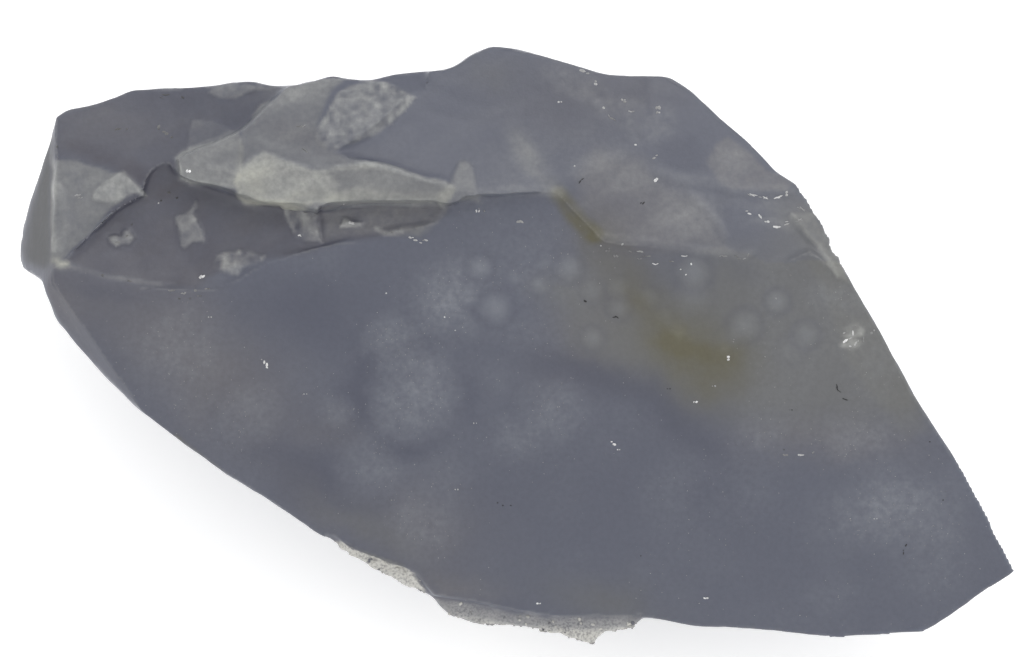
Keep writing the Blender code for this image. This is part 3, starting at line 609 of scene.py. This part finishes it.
def linked(name, data):
    """A new object in the scene."""
    result = bpy.data.objects.new(name, data)
    bpy.context.scene.collection.objects.link(result)
    return result


def plain_mesh(carrier):
    """The object's mesh with its modifiers applied; the object goes."""
    graph = bpy.context.evaluated_depsgraph_get()
    mesh = bpy.data.meshes.new_from_object(carrier.evaluated_get(graph))
    bpy.data.objects.remove(carrier)
    return mesh


def thinned(mesh, hidden, share):
    """The mesh with fewer faces where hidden is true, down to this share of them in all."""
    carrier = linked("agate_thinned", mesh)
    group = carrier.vertex_groups.new(name="hidden")
    group.add(np.flatnonzero(hidden).tolist(), 1.0, "REPLACE")
    thin = carrier.modifiers.new("thin", "DECIMATE")
    thin.ratio = share
    thin.vertex_group = group.name
    return plain_mesh(carrier)


def fine_copy(node, cell):
    """An even mesh of quads over a copy of the plain solid, in the frame of the smooth face."""
    form = bmesh.new()
    form.from_mesh(node.data)
    form.transform(FACE_FRAME.inverted())
    bmesh.ops.remove_doubles(form, verts=form.verts, dist=WELD_GAP)
    mesh = bpy.data.meshes.new("agate_fine")
    form.to_mesh(mesh)
    form.free()
    carrier = linked("agate_fine", mesh)
    even = carrier.modifiers.new("even", "REMESH")
    even.mode = "VOXEL"
    even.voxel_size = cell
    return plain_mesh(carrier)


def rows_of(items, key):
    """A three-part value of each of these items, as rows."""
    values = np.empty(len(items) * 3)
    items.foreach_get(key, values)
    return values.reshape(-1, 3)


def unit(vectors):
    """Rows of vectors, each made 1 long."""
    return vectors / np.maximum(np.linalg.norm(vectors, axis=1), 1e-12)[:, None]


def summed(index, values, count):
    """Adds up rows of values by index."""
    return np.stack([np.bincount(index, values[:, k], count) for k in range(values.shape[1])], axis=1)


def quad_normals(points, quads):
    """The way that each quad faces, from its two diagonals."""
    across, along = (points[quads[:, end]] - points[quads[:, start]] for start, end in ((0, 2), (1, 3)))
    return unit(np.cross(across, along))


def neighbours(quads):
    """The two quads on either side of each edge, as two lists."""
    sides = np.sort(np.concatenate([quads[:, [k, (k + 1) % 4]] for k in range(4)]), axis=1)
    owner = np.tile(np.arange(len(quads)), 4)
    order = np.lexsort((sides[:, 1], sides[:, 0]))
    sides, owner = sides[order], owner[order]
    paired = np.flatnonzero((sides[:-1] == sides[1:]).all(axis=1))
    return owner[paired], owner[paired + 1]


def smooth_between_ridges(points, quads, rounds=36, sharp_deg=24.0, fills=14):
    """Evens out each facet, keeps the ridges and fills the valleys a little."""
    one, two = neighbours(quads)
    limit = math.cos(math.radians(sharp_deg))
    normals = quad_normals(points, quads)
    for _ in range(rounds):
        alike = np.maximum((normals[one] * normals[two]).sum(axis=1) - limit, 0.0)[:, None]
        alike = alike ** 2 / (1 - limit) ** 2
        spread = summed(one, alike * normals[two], len(quads)) + summed(two, alike * normals[one], len(quads))
        normals = unit(normals + spread)
    corner = quads.ravel()
    face = np.repeat(np.arange(len(quads)), 4)
    shares = np.bincount(corner, minlength=len(points))[:, None]
    for _ in range(rounds // 2):
        middle = points[quads].mean(axis=1)
        off = ((middle[face] - points[corner]) * normals[face]).sum(axis=1)[:, None] * normals[face]
        points = points + summed(corner, off, len(points)) / shares
    out = unit(summed(corner, normals[face], len(points)))
    for _ in range(fills):
        middle = points[quads].mean(axis=1)
        pull = summed(corner, middle[face] - points[corner], len(points)) / shares
        points = points + ease(*VALLEY_DEPTH, (pull * out).sum(axis=1))[:, None] * pull
    return points, out


def evened(values, quads, rounds=30):
    """Rows of values by point, averaged with their neighbours again and again."""
    corner = quads.ravel()
    shares = np.bincount(corner, minlength=len(values))[:, None]
    for _ in range(rounds):
        values = summed(corner, np.repeat(values[quads].mean(axis=1), 4, axis=0), len(values)) / shares
    return values


def ridges(points, normals, quads, cell):
    """How far each point stands proud of its neighbours: over 0 on ridges, under 0 in valleys."""
    corner = quads.ravel()
    middle = points[quads].mean(axis=1)
    low = np.einsum("ij,ij->i", points[corner] - np.repeat(middle, 4, axis=0), normals[corner])
    return np.bincount(corner, low, len(points)) / np.bincount(corner, minlength=len(points)) / cell


# ---- tones and relief ----

DRAWN_TONES = ("milk", "shade", "warm", "green", "stain", "hollow", "pale", "cream")


def paired_grain(points, size, seeds, octaves=1):
    """Two grains as x and y, which move outlines a little so that they aren't drawn too clean."""
    return np.stack([grain(points, size, seed, octaves) for seed in seeds], axis=1)


def drawn_tones(xy, loose, crisp, fine):
    """The clouds, zones and strokes, as masks by tone."""
    masks = {name: np.zeros(len(xy)) for name in DRAWN_TONES}
    for name, rows in CLOUDS.items():
        for across, down, wide, high, turn, share in rows:
            masks[name] += share * patch(loose, on_face(across, down), in_mm(wide, 1), in_mm(high, 1), turn)
    for name, rows in ZONES.items():
        for outline, share, soft, mottle in rows:
            masks[name] += share * within(xy, outline, soft) * (1.0 + mottle * crisp)
    for name, rows in STROKES.items():
        for line, share, width, soft in rows:
            masks[name] += share * stroke(xy, line, width, soft) * (0.8 + 0.3 * fine)
    return masks


def ring(away, place, width):
    """1 at this distance, fading on both sides."""
    return np.exp(-(((away - place) / width) ** 2))


def round_tones(masks, plan, drift, loose):
    """Adds the dark rims of balls and domes, painted shade on the domes' unlit side, and dome milk; gives the
    ball mask.
    """
    spot = np.zeros(len(plan))
    for across, down, radius, share in BALLS:
        away = radii_from(plan + 0.10 * drift, across, down, radius)[1]
        spot += share * np.exp(-(away ** 2))
        masks["shade"] += 0.30 * share * ring(away, *BALL_RIM)
    for across, down, radius, share in DOMES:
        aside, away = radii_from(0.5 * (plan + loose), across, down, radius)
        masks["milk"] += 0.82 * share * np.exp(-((away / 0.86) ** 3))
        # painted shade: each dome's rim is partly its own deeper blue, partly darker on its side away from
        # the light
        weight = 0.6 - 0.4 * (aside @ LIT_SIDE) / np.maximum(away * in_mm(radius), 0.1)
        masks["shade"] += 0.40 * share * weight * ring(away, *DOME_RIM)
    return spot


def front_rim(xy, loose, depth):
    """Where the rind shows along the front of the stone."""
    ragged = 0.5 * (xy + loose)
    low = within(ragged, RIND_LOW, 0.9)
    rim = np.maximum(low, within(ragged, RIND_STRIP, 0.6)) * (depth < RIM_TOP)
    rim = np.maximum(rim, low * ease(*RIM_DEPTH, depth))
    return rim * ((1.0 - within(xy, RIM_CHIP_ZONE, 0.3)) * (1.0 - 0.60 * stroke(xy, RIND_TOP, 0.8, 0.9)))


def streak_fractures(masks, points, up, upper, ledges):
    """Streaks the fracture tones, keeps them off the sides and the underside, and lightens the ledge walls as
    painted light.
    """
    stretch = Matrix.Diagonal((0.25, 1.0, 0.25)) @ Matrix.Rotation(-math.radians(STREAK_DEG), 3, "Z")
    streak = grain(points @ np.array(stretch).T, 1.5, seed=14, octaves=3)
    masks["pale"] = masks["pale"] * (1.0 + 0.45 * streak) + 0.035 * upper * streak.clip(0.0, 1.0)
    masks["cream"] *= 1.0 + 0.45 * streak
    masks["hollow"] *= 1.0 + 0.25 * streak
    # painted light: the walls of the ledges keep their pale tone and get a little more, against the shade
    # that falls on them
    masks["pale"] = masks["pale"] * np.maximum(up, ledges) + 0.12 * (1.0 - up) * ledges
    masks["hollow"] *= np.maximum(up, 1.0 - ledges)
    for name in ("hollow", "stain", "pale", "cream"):
        masks[name] *= ease(*FACE_DEPTH, points[:, 2])


def tones(points, normals, proud, broad):
    """The masks that the material reads, each from 0 to 1, by name; broad is normals evened out."""
    plan, depth = points[:, :2], points[:, 2]
    drift = paired_grain(points, 0.9, seeds=(5, 6))
    xy = plan + 0.12 * drift
    loose = plan + 0.35 * drift + 0.8 * paired_grain(points, 4.0, seeds=(7, 8), octaves=2)
    up = ease(*FACING_UP, normals[:, 2])
    upper = within(xy, UPPER, 0.5) * up
    face = up * (1.0 - upper)
    cloud = grain(points, 7.0, seed=11, octaves=3)
    fine = grain(points, 1.3, seed=12, octaves=2)
    crisp = grain(points, 0.6, seed=13, octaves=2)
    masks = drawn_tones(xy, loose, crisp, fine)
    spot = round_tones(masks, plan, drift, loose)
    speckled, haze = 0.80 + 0.35 * crisp, ease(-0.2, 1.2, cloud)
    masks["milk"] = (0.50 * masks["milk"] * speckled + 0.10 * haze) * face
    for name in ("shade", "warm", "green"):
        masks[name] *= np.where(upper > 0.5, UPPER_SHARE, 1.0) * up

    height = points @ UPWARDS + FACE_CENTRE.z
    vein_wall = ease(*FACING_BACK, broad[:, 2] + 0.10 * cloud) * ease(*WALL_HEIGHT, height + cloud)
    rim = front_rim(xy, loose, depth)
    rind = np.maximum(vein_wall, rim)
    blunt_end = within(xy, SIDE, 1.0) * (normals[:, 0] < FACING_LEFT) * ease(*END_DEPTH, depth + cloud)
    ledges = within(plan, LEDGES, 0.6) * ease(*FACE_DEPTH, depth)
    masks["shade"] += 0.20 * blunt_end
    masks["green"] += blunt_end
    streak_fractures(masks, points, up, upper, ledges)
    masks.update({
        "rind": rind,
        "glassy": (upper + (1.0 - up) * (1.0 - rind)) * (1.0 - blunt_end),
        "dull": np.maximum(blunt_end, within(xy, BEVEL, 1.0) * (1.0 - 0.5 * up)),
        "ridge": ease(0.03, 0.14, proud) * (1.0 - rind) * (1.0 - 0.7 * ledges),
        "band": (1.0 - up) * (1.0 - rind) * (1.0 - 0.7 * blunt_end) * (1.0 - ledges),
        "spot": spot * face,
        "rim_grit": rim,
        "sparkle": masks["milk"] * face,
    })
    return {name: mask.clip(0.0, 1.0) for name, mask in masks.items()}


def round_relief(plan, ball):
    """The low rises of domes and balls, in millimetres."""
    rise = np.zeros(len(plan))
    for across, down, radius, share in DOMES:
        away = radii_from(plan, across, down, radius)[1]
        rise += ball * share * np.exp(-(away / 0.85) ** 4)
    for across, down, radius, share in BALLS:
        away = radii_from(plan, across, down, radius)[1]
        rise += 0.25 * ball * share * np.exp(-(away ** 3))
    return rise


def fracture_relief(points, swell, hollow, sizes):
    """Ripples round the blows, and the small steps of the dark hollow, in millimetres."""
    plan = points[:, :2]
    arcs = sizes.ripple * swell
    north = np.hypot(*(plan - NORTH_STRIKE).T)
    east = np.hypot(*(plan - EAST_STRIKE).T) + 0.2 * grain(points, 4.0, seed=24)
    ripples = arcs * np.where(points[:, 0] < STRIKE_BORDER, np.sin(3.3 * north), np.sin(3.0 * east))
    steps = grain(points * (1.0, 1.6, 1.0), 3.2, seed=25, octaves=2)
    steps = np.floor(steps * 3.0) / 3.0 + ease(0.75, 1.0, (steps * 3.0) % 1.0) / 3.0
    return ripples + sizes.step * steps * hollow


def rind_relief(points, masks, sizes):
    """Lumps and grit on the wall of the vein, and grit on the front rim, in millimetres."""
    back = masks["rind"] * (1.0 - masks["rim_grit"]) * ease(*REST_DEPTH, points @ UPWARDS)
    rise = back * sizes.lump * (0.55 - lumps(points, 3.4, seed=31).clip(0.0, 1.0) ** 2)
    rise += back * sizes.grit * 0.6 * grain(points, 0.9, seed=32, octaves=2)
    return rise + masks["rim_grit"] * sizes.grit * 1.6 * grain(points, 0.8, seed=33, octaves=2)


def relief(points, normals, masks, sizes):
    """How far each point moves out along its normal, in millimetres."""
    plan = points[:, :2]
    up = ease(*FACING_UP, normals[:, 2])
    upper = within(plan, UPPER) * up
    face = up * (1.0 - upper)
    move = 0.012 * grain(points, 1.1, seed=21, octaves=2) + face * 0.05 * grain(points, 6.0, seed=22)
    move += face * round_relief(plan, sizes.ball)
    swell = grain(points, 5.0, seed=23).clip(0.0, 1.0)
    move += upper * fracture_relief(points, swell, masks["hollow"], sizes)
    scuffs = grain(points, 1.0, seed=26, octaves=2)
    for outline, height, rough in PLATES:
        move += within(plan, outline, 0.35) * (height + rough * scuffs)
    for line, height, width in FOLDS:
        move += height * stroke(plan, line, 0.1, width)
    swirl = np.linalg.norm(points - SWIRL_CENTRE, axis=1) + 1.2 * grain(points, 9.0, seed=29)
    curl = 0.05 * swell * np.sin(2.6 * swirl)
    move += masks["band"] * (curl + 0.07 * grain(points, 2.4, seed=30, octaves=3))
    move += rind_relief(points, masks, sizes)
    nick = ease(0.06, 0.16, masks["ridge"]) * ease(0.25, 0.8, grain(points, 1.4, seed=34, octaves=2))
    return move - 0.14 * nick


# ---- materials ----

class Value:
    """One number in a shader, which sums and products can be written with."""

    def __init__(self, graph, socket):
        self.graph = graph
        self.socket = socket

    def paired(self, operation, first, second):
        result = self.graph.add("ShaderNodeMath", {"operation": operation}, {0: first, 1: second})
        return Value(self.graph, result)

    def __add__(self, other):
        return self.paired("ADD", self, other)

    def __sub__(self, other):
        return self.paired("SUBTRACT", self, other)

    def __rsub__(self, other):
        return self.paired("SUBTRACT", other, self)

    def __mul__(self, other):
        return self.paired("MULTIPLY", self, other)

    __radd__ = __add__
    __rmul__ = __mul__


def fill(tree, node, sockets):
    """Sets the sockets of a node to plain values, or links them."""
    for key, value in sockets.items():
        value = value.socket if isinstance(value, Value) else value
        if isinstance(value, bpy.types.NodeSocket):
            tree.links.new(value, node.inputs[key])
        else:
            node.inputs[key].default_value = value


def add_node(tree, kind, settings, sockets):
    """A node of this kind: its settings come first, then the values or links of its sockets."""
    node = tree.nodes.new(kind)
    for key, value in settings.items():
        setattr(node, key, value)
    fill(tree, node, sockets)
    return node


class Graph:
    """A material's nodes."""

    def __init__(self, name):
        self.material = bpy.data.materials.new(name)
        self.material.use_nodes = True
        self.tree = self.material.node_tree
        self.shader = self.tree.nodes["Principled BSDF"]

    def add(self, kind, settings, sockets, output=0):
        return add_node(self.tree, kind, settings, sockets).outputs[output]

    def mask(self, name):
        return Value(self, self.add("ShaderNodeAttribute", {"attribute_name": name}, {}, "Fac"))

    def noise(self, size, detail=2.0, stretch=(1.0, 1.0, 1.0)):
        """Noise from 0 to 1 with lumps about size millimetres across."""
        place = self.add("ShaderNodeTexCoord", {}, {}, "Object")
        place = self.add("ShaderNodeMapping", {}, {"Vector": place, "Scale": stretch})
        sockets = {"Vector": place, "Scale": 1000.0 / size, "Detail": detail, "Roughness": 0.55}
        return Value(self, self.add("ShaderNodeTexNoise", {}, sockets, "Fac"))

    def span(self, value, low, high, least=0.0, most=1.0):
        """The value, stretched from low..high to least..most and held there."""
        sockets = {"Value": value, "From Min": low, "From Max": high, "To Min": least, "To Max": most}
        return Value(self, self.add("ShaderNodeMapRange", {}, sockets))

    def mix(self, share, first, second, blend="MIX"):
        settings = {"data_type": "RGBA", "blend_type": blend, "clamp_factor": True}
        shares = {0: share}
        for key, tone in ((6, first), (7, second)):
            shares[key] = tone if isinstance(tone, bpy.types.NodeSocket) else (*tone, 1.0)
        return self.add("ShaderNodeMix", settings, shares, 2)

    def finish(self, tone, roughness, height, distance, **fixed):
        bump = self.add("ShaderNodeBump", {}, {"Height": height, "Distance": distance, "Strength": 1.0})
        fill(self.tree, self.shader, {"Base Color": tone, "Roughness": roughness, "Normal": bump})
        fill(self.tree, self.shader, {key.replace("_", " "): value for key, value in fixed.items()})
        return self.material


def chalcedony(tints):
    """The stone: each mask mixes in its tone, in the order in which the tones lie over each other."""
    graph = Graph("blue_chalcedony")
    fine, mottle, speck = graph.noise(0.45, 3.0), graph.noise(2.6, 4.0), graph.noise(0.22, 1.0)
    soft = graph.span(mottle, 0.30, 0.70)
    frost = graph.span(fine, 0.32, 0.68)
    band = graph.mask("band")
    tone = graph.mix(graph.mask("warm"), tints.body, tints.warm)
    tone = graph.mix(graph.mask("green"), tone, tints.green)
    milk = graph.mask("milk")
    tone = graph.mix(milk * (0.55 + 0.20 * soft + 0.60 * frost), tone, tints.milk)
    tone = graph.mix(graph.mask("shade"), tone, tints.shade)
    tone = graph.mix(graph.mask("spot") * 0.42, tone, tints.milk)
    lace = graph.noise(1.1, 2.0, (0.18, 0.18, 1.0))
    tone = graph.mix(band * graph.span(lace, 0.46, 0.60, 0.0, 0.45), tone, tints.milk)
    tone = graph.mix(graph.mask("hollow") * (0.80 + 0.25 * soft), tone, tints.hollow)
    tone = graph.mix(graph.mask("stain") * (0.75 + 0.35 * soft), tone, tints.stain)
    tone = graph.mix(graph.mask("pale") * (0.82 + 0.36 * frost), tone, tints.pale)
    tone = graph.mix(graph.mask("cream") * (0.86 + 0.28 * frost), tone, tints.cream)
    tone = graph.mix(graph.mask("ridge") * 0.12, tone, tints.pale)
    rind = graph.mask("rind")
    grit = graph.mix(graph.span(speck, 0.34, 0.56, 0.35, 1.0), tints.warm, tints.rind)
    grit = graph.mix(graph.span(mottle, 0.35, 0.70, 0.0, 0.6), grit, tints.rind)
    tone = graph.mix(rind, tone, grit)
    tone = graph.mix(graph.span(fine, 0.3, 0.7, 0.0, 0.10), tone, (1.0, 1.0, 1.0), "SOFT_LIGHT")
    glassy = graph.mask("glassy")
    roughness = 0.52 - 0.14 * glassy + 0.34 * rind + 0.10 * (mottle - 0.5) + 0.34 * graph.mask("dull")
    height = fine * (0.5 - 0.28 * glassy + 0.9 * milk) + 0.35 * speck * (1.0 + 3.0 * rind)
    depth = {"Subsurface_Weight": 0.25, "Subsurface_Scale": 0.0015, "Subsurface_Radius": (0.9, 0.95, 1.0)}
    return graph.finish(tone, roughness, height, 0.00003, IOR=1.54, **depth)


def matrix_grain(tints):
    """Grains of the rind, from dark to pale by the shade that each one was given."""
    graph = Graph("matrix_grain")
    tone = graph.mix(graph.mask("shade_of_grain"), tints.shade, tints.rind)
    return graph.finish(tone, 0.80, graph.noise(0.15), 0.00002, IOR=1.5)


def white_fleck_and_glint(tints):
    """Flecks, painted glints and sparkles, from nearly black to white by the shade that each one was given.
    """
    graph = Graph("white_fleck_and_glint")
    tone = graph.mix(graph.mask("shade_of_grain"), (0.012, 0.012, 0.014), tints.fleck_and_glint)
    return graph.finish(tone, 0.45, graph.noise(0.2), 0.00001, IOR=1.5)


def plain_floor():
    graph = Graph("pale_floor")
    tone = graph.mix(graph.noise(90.0), (0.90, 0.90, 0.90), (0.93, 0.93, 0.93))
    return graph.finish(tone, 0.9, graph.noise(3.0), 0.00001, Emission_Strength=0.34)


# ---- grains, flecks and painted glints, by Geometry Nodes ----

def scatter_tree(name, mask=""):
    """Small grains where a mask is high or, without a mask, chips at points that carry their own size."""
    tree = bpy.data.node_groups.new(name, "GeometryNodeTree")
    face = tree.interface
    face.new_socket("Geometry", in_out="INPUT", socket_type="NodeSocketGeometry")
    sockets = {"Density": "Float", "Size": "Float", "Darkest": "Float", "Brightest": "Float", "Seed": "Int"}
    for label, kind in {**sockets, "Finish": "Material"}.items():
        face.new_socket(label, in_out="INPUT", socket_type="NodeSocket" + kind)
    face.new_socket("Geometry", in_out="OUTPUT", socket_type="NodeSocketGeometry")

    def add(kind, settings, sockets):
        return add_node(tree, kind, settings, sockets)

    def named(label, kind):
        return add("GeometryNodeInputNamedAttribute", {"data_type": kind}, {"Name": label}).outputs[0]

    def by_chance(kind, low, high, first=0):
        settings, seed = {"data_type": kind}, given["Seed"]
        return add("FunctionNodeRandomValue", settings, {first: low, first + 1: high, "Seed": seed})

    given = add("NodeGroupInput", {}, {}).outputs
    if mask:
        density = add("ShaderNodeMath", {"operation": "MULTIPLY"}, {
            0: named(mask, "FLOAT"), 1: given["Density"]})
        spots = add("GeometryNodeDistributePointsOnFaces", {"distribute_method": "RANDOM"}, {
            "Mesh": given["Geometry"], "Density": density.outputs[0], "Seed": given["Seed"]})
        ball = add("GeometryNodeMeshIcoSphere", {}, {"Radius": given["Size"], "Subdivisions": 1})
        spread = by_chance("FLOAT_VECTOR", (0.45, 0.35, 0.25), (1.25, 1.0, 0.75))
        stand = add("GeometryNodeInstanceOnPoints", {}, {
            "Points": spots.outputs["Points"], "Instance": ball.outputs["Mesh"], "Scale": spread.outputs[0],
            "Rotation": spots.outputs["Rotation"]})
        tilt = by_chance("FLOAT_VECTOR", (-0.5, -0.5, -3.1), (0.5, 0.5, 3.1))
        stand = add("GeometryNodeRotateInstances", {}, {
            "Instances": stand.outputs[0], "Rotation": tilt.outputs[0]})
        shade = by_chance("FLOAT", given["Darkest"], given["Brightest"], 2).outputs[1]
        stand = add("GeometryNodeStoreNamedAttribute", {"data_type": "FLOAT", "domain": "INSTANCE"}, {
            "Geometry": stand.outputs[0], "Name": "shade_of_grain", "Value": shade})
    else:
        chip = add("GeometryNodeMeshCone", {}, {
            "Vertices": 5, "Radius Top": 0.0004, "Radius Bottom": given["Size"], "Depth": given["Size"]})
        stand = add("GeometryNodeInstanceOnPoints", {}, {
            "Points": given["Geometry"], "Instance": chip.outputs["Mesh"],
            "Scale": named("fleck_size", "FLOAT_VECTOR"), "Rotation": named("fleck_turn", "FLOAT_VECTOR")})
    real = add("GeometryNodeRealizeInstances", {}, {"Geometry": stand.outputs[0]})
    finish = add("GeometryNodeSetMaterial", {}, {"Geometry": real.outputs[0], "Material": given["Finish"]})
    add("NodeGroupOutput", {}, {"Geometry": finish.outputs[0]})
    return tree


def scattered(name, source, tree, values):
    """The tree's result on a copy of the source mesh, as a plain object."""
    carrier = linked(name, source)
    modifier = carrier.modifiers.new("scatter", "NODES")
    modifier.node_group = tree
    for item in tree.interface.items_tree:
        if item.in_out == "INPUT" and item.name in values:
            modifier[item.identifier] = values[item.name]
    mesh = plain_mesh(carrier)
    if not len(mesh.polygons):
        raise RuntimeError(f"nothing was made for {name}")
    mesh.name = name
    return linked(name, mesh)


def dusted(name, mask, values):
    """Grains all over the stone where the mask is high, as a plain object."""
    return scattered(name, bpy.data.objects[STONE].data.copy(), scatter_tree(name, mask), values)


# ---- operators ----

STONE = "blue_lace_agate"  # the main piece, which the small ones are scattered over


class AGATE_OT_stone(bpy.types.Operator):
    """Gives the plain solid its relief, its tones and its material"""

    bl_idname = "agate.stone"
    bl_label = "Stone"

    def execute(self, context):
        sizes, tints = context.scene.agate_shape, context.scene.agate_tones
        mesh = fine_copy(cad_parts["agate"], sizes.cell)
        points = rows_of(mesh.vertices, "co")
        quads = np.empty(len(mesh.loops), np.int64)
        mesh.loops.foreach_get("vertex_index", quads)
        if len(quads) != 4 * len(mesh.polygons):
            raise RuntimeError("the even mesh is not all quads")
        quads = quads.reshape(-1, 4)
        points, normals = smooth_between_ridges(points, quads)
        proud = ridges(points, normals, quads, sizes.cell)
        masks = tones(points, normals, proud, evened(normals, quads))
        points = points + relief(points, normals, masks, sizes)[:, None] * normals
        sunk = np.maximum(-(points @ UPWARDS + FACE_CENTRE.z), 0.0)
        points += np.outer(sunk, UPWARDS)  # what would reach through the floor is lifted onto it
        mesh.vertices.foreach_set("co", points.ravel())
        for name, mask in masks.items():
            mesh.attributes.new(name, "FLOAT", "POINT").data.foreach_set("value", mask)
        mesh.transform(FACE_FRAME)
        kept = TRIANGLES / (2.0 * len(quads))
        if kept < 1.0:
            mesh = thinned(mesh, normals[:, 2] < THINNED_BELOW, kept)
        mesh.materials.clear()
        mesh.materials.append(chalcedony(tints))
        mesh.shade_smooth()
        mesh.name = STONE
        stone = linked(STONE, mesh)
        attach(stone, "root")
        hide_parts("agate")
        return {"FINISHED"}


class AGATE_OT_grains(bpy.types.Operator):
    """Scatters grains of the matrix over the pale rind on the front rim"""

    bl_idname = "agate.grains"
    bl_label = "Rind grains"

    def execute(self, context):
        grains = dusted("rind_grains", "rim_grit", {
            "Density": 1.8e6, "Size": 0.00022, "Darkest": 0.15, "Brightest": 1.25, "Seed": 7,
            "Finish": matrix_grain(context.scene.agate_tones),
        })
        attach(grains, "root")
        return {"FINISHED"}


class AGATE_OT_sparkles(bpy.types.Operator):
    """Dusts the milky clouds with fine bright specks"""

    bl_idname = "agate.sparkles"
    bl_label = "Sparkles"

    def execute(self, context):
        sparkles = dusted("cloud_sparkles", "sparkle", {
            "Density": 9.0e6, "Size": 0.00005, "Darkest": 0.08, "Brightest": 0.34, "Seed": 11,
            "Finish": white_fleck_and_glint(context.scene.agate_tones),
        })
        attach(sparkles, "root")
        return {"FINISHED"}


class AGATE_OT_flecks_and_glints(bpy.types.Operator):
    """Sets white and dark flecks, and thin bright splinters as painted glints, on the stone's face"""

    bl_idname = "agate.flecks"
    bl_label = "Flecks"

    def execute(self, context):
        vertices = bpy.data.objects[STONE].data.vertices
        points, normals = rows_of(vertices, "co"), rows_of(vertices, "normal")
        local = (points * 1000.0 - np.array(FACE_CENTRE)) @ np.array(Matrix.Rotation(FACE_TILT, 3, "X"))
        shown = np.flatnonzero(local[:, 2] > FLECK_DEPTH)
        places, sizes, turns, shades = [], [], [], []
        chance = np.random.default_rng(5)
        for across, down, steps_long, steps_wide, turn, tone in FLECKS_AND_GLINTS:
            length, width = in_mm(steps_long), in_mm(steps_wide)
            along = Vector((math.cos(math.radians(turn)), math.sin(math.radians(turn))))
            for part in range(FLECK_PARTS):
                offset = chance.uniform(-FLECK_OFFSET, FLECK_OFFSET) * length * part * along
                spot = Vector(on_face(across, down)) + offset
                nearest = shown[np.argmin(np.hypot(local[shown, 0] - spot.x, local[shown, 1] - spot.y))]
                lean = Vector((0.0, 0.0, 1.0)).rotation_difference(Vector(normals[nearest])).to_matrix()
                share = chance.uniform(*CHIP_SHARE) if part else 1.0
                askew = turn + chance.uniform(-CHIP_ASKEW_DEG, CHIP_ASKEW_DEG)
                places.append(points[nearest])
                sizes.append((CHIP_LENGTH * length * share, CHIP_WIDTH * width * share, CHIP_HEIGHT))
                turns.append((lean @ Matrix.Rotation(math.radians(askew), 3, "Z")).to_euler())
                shades.append(tone ** FLECK_CONTRAST * chance.uniform(*CHIP_SHARE))
        source = bpy.data.meshes.new("fleck_points")
        source.from_pydata(places, [], [])
        for name, kind, key, rows in (
            ("fleck_size", "FLOAT_VECTOR", "vector", sizes), ("fleck_turn", "FLOAT_VECTOR", "vector", turns),
            ("shade_of_grain", "FLOAT", "value", shades),
        ):
            source.attributes.new(name, kind, "POINT").data.foreach_set(key, np.array(rows).ravel())
        values = {"Size": 0.001, "Seed": 3, "Finish": white_fleck_and_glint(context.scene.agate_tones)}
        flecks = scattered("face_flecks", source, scatter_tree("face_flecks"), values)
        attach(flecks, "root")
        return {"FINISHED"}


class AGATE_OT_stage(bpy.types.Operator):
    """Sets up a pale floor, soft light and the camera"""

    bl_idname = "agate.stage"
    bl_label = "Stage"

    def execute(self, context):
        scene, stage = context.scene, context.scene.agate_stage
        mesh = bpy.data.meshes.new("floor")
        form = bmesh.new()
        bmesh.ops.create_grid(form, x_segments=8, y_segments=8, size=FLOOR_REACH)
        form.to_mesh(mesh)
        form.free()
        mesh.materials.append(plain_floor())
        floor = linked("floor", mesh)

        world = bpy.data.worlds.new("even_sky")
        world.use_nodes = True
        sky = world.node_tree.nodes["Background"]
        sky.inputs["Color"].default_value = (1.0, 1.0, 1.0, 1.0)
        sky.inputs["Strength"].default_value = stage.sky
        scene.world = world
        light = bpy.data.lights.new("key", "AREA")
        light.energy = stage.key
        light.size = LAMP_SIZE
        lamp = linked("key", light)
        lamp.location = LAMP_PLACE
        lamp.rotation_euler = lamp.location.to_track_quat("Z", "Y").to_euler()

        lens = bpy.data.cameras.new("camera")
        lens.lens = lens.sensor_width * stage.distance / (stage.width * 0.001)
        camera = linked("camera", lens)
        tilt = math.radians(stage.height)
        out = Vector((0.0, -math.cos(tilt), math.sin(tilt)))
        camera.location = FACE_FRAME @ AIM + out * stage.distance
        camera.rotation_euler = out.to_track_quat("Z", "Y").to_euler()
        scene.camera = camera
        scene.view_settings.view_transform = "Standard"
        return {"FINISHED"}


class AGATE_PT_panel(bpy.types.Panel):
    """Lists the pieces in the order that they are made"""

    bl_idname = "AGATE_PT_panel"
    bl_label = "Blue lace agate"
    bl_space_type = "VIEW_3D"
    bl_region_type = "UI"
    bl_category = "Agate"

    def draw(self, context):
        for group in (context.scene.agate_shape, context.scene.agate_tones, context.scene.agate_stage):
            box = self.layout.box()
            for name in group.__annotations__:
                box.prop(group, name)
        for piece in PIECES:
            self.layout.operator(piece.bl_idname)


PIECES = (AGATE_OT_stone, AGATE_OT_grains, AGATE_OT_sparkles, AGATE_OT_flecks_and_glints, AGATE_OT_stage)
GROUPS = {"agate_shape": AgateShape, "agate_tones": AgateTones, "agate_stage": AgateStage}


def register():
    for item in (*GROUPS.values(), *PIECES, AGATE_PT_panel):
        bpy.utils.register_class(item)
    for name, group in GROUPS.items():
        setattr(bpy.types.Scene, name, PointerProperty(type=group))


def unregister():
    for name in GROUPS:
        delattr(bpy.types.Scene, name)
    for item in (AGATE_PT_panel, *reversed(PIECES), *GROUPS.values()):
        bpy.utils.unregister_class(item)


def main():
    register()
    bpy.ops.agate.stone()
    bpy.ops.agate.grains()
    bpy.ops.agate.sparkles()
    bpy.ops.agate.flecks()
    bpy.ops.agate.stage()


if __name__ == "__main__":
    main()
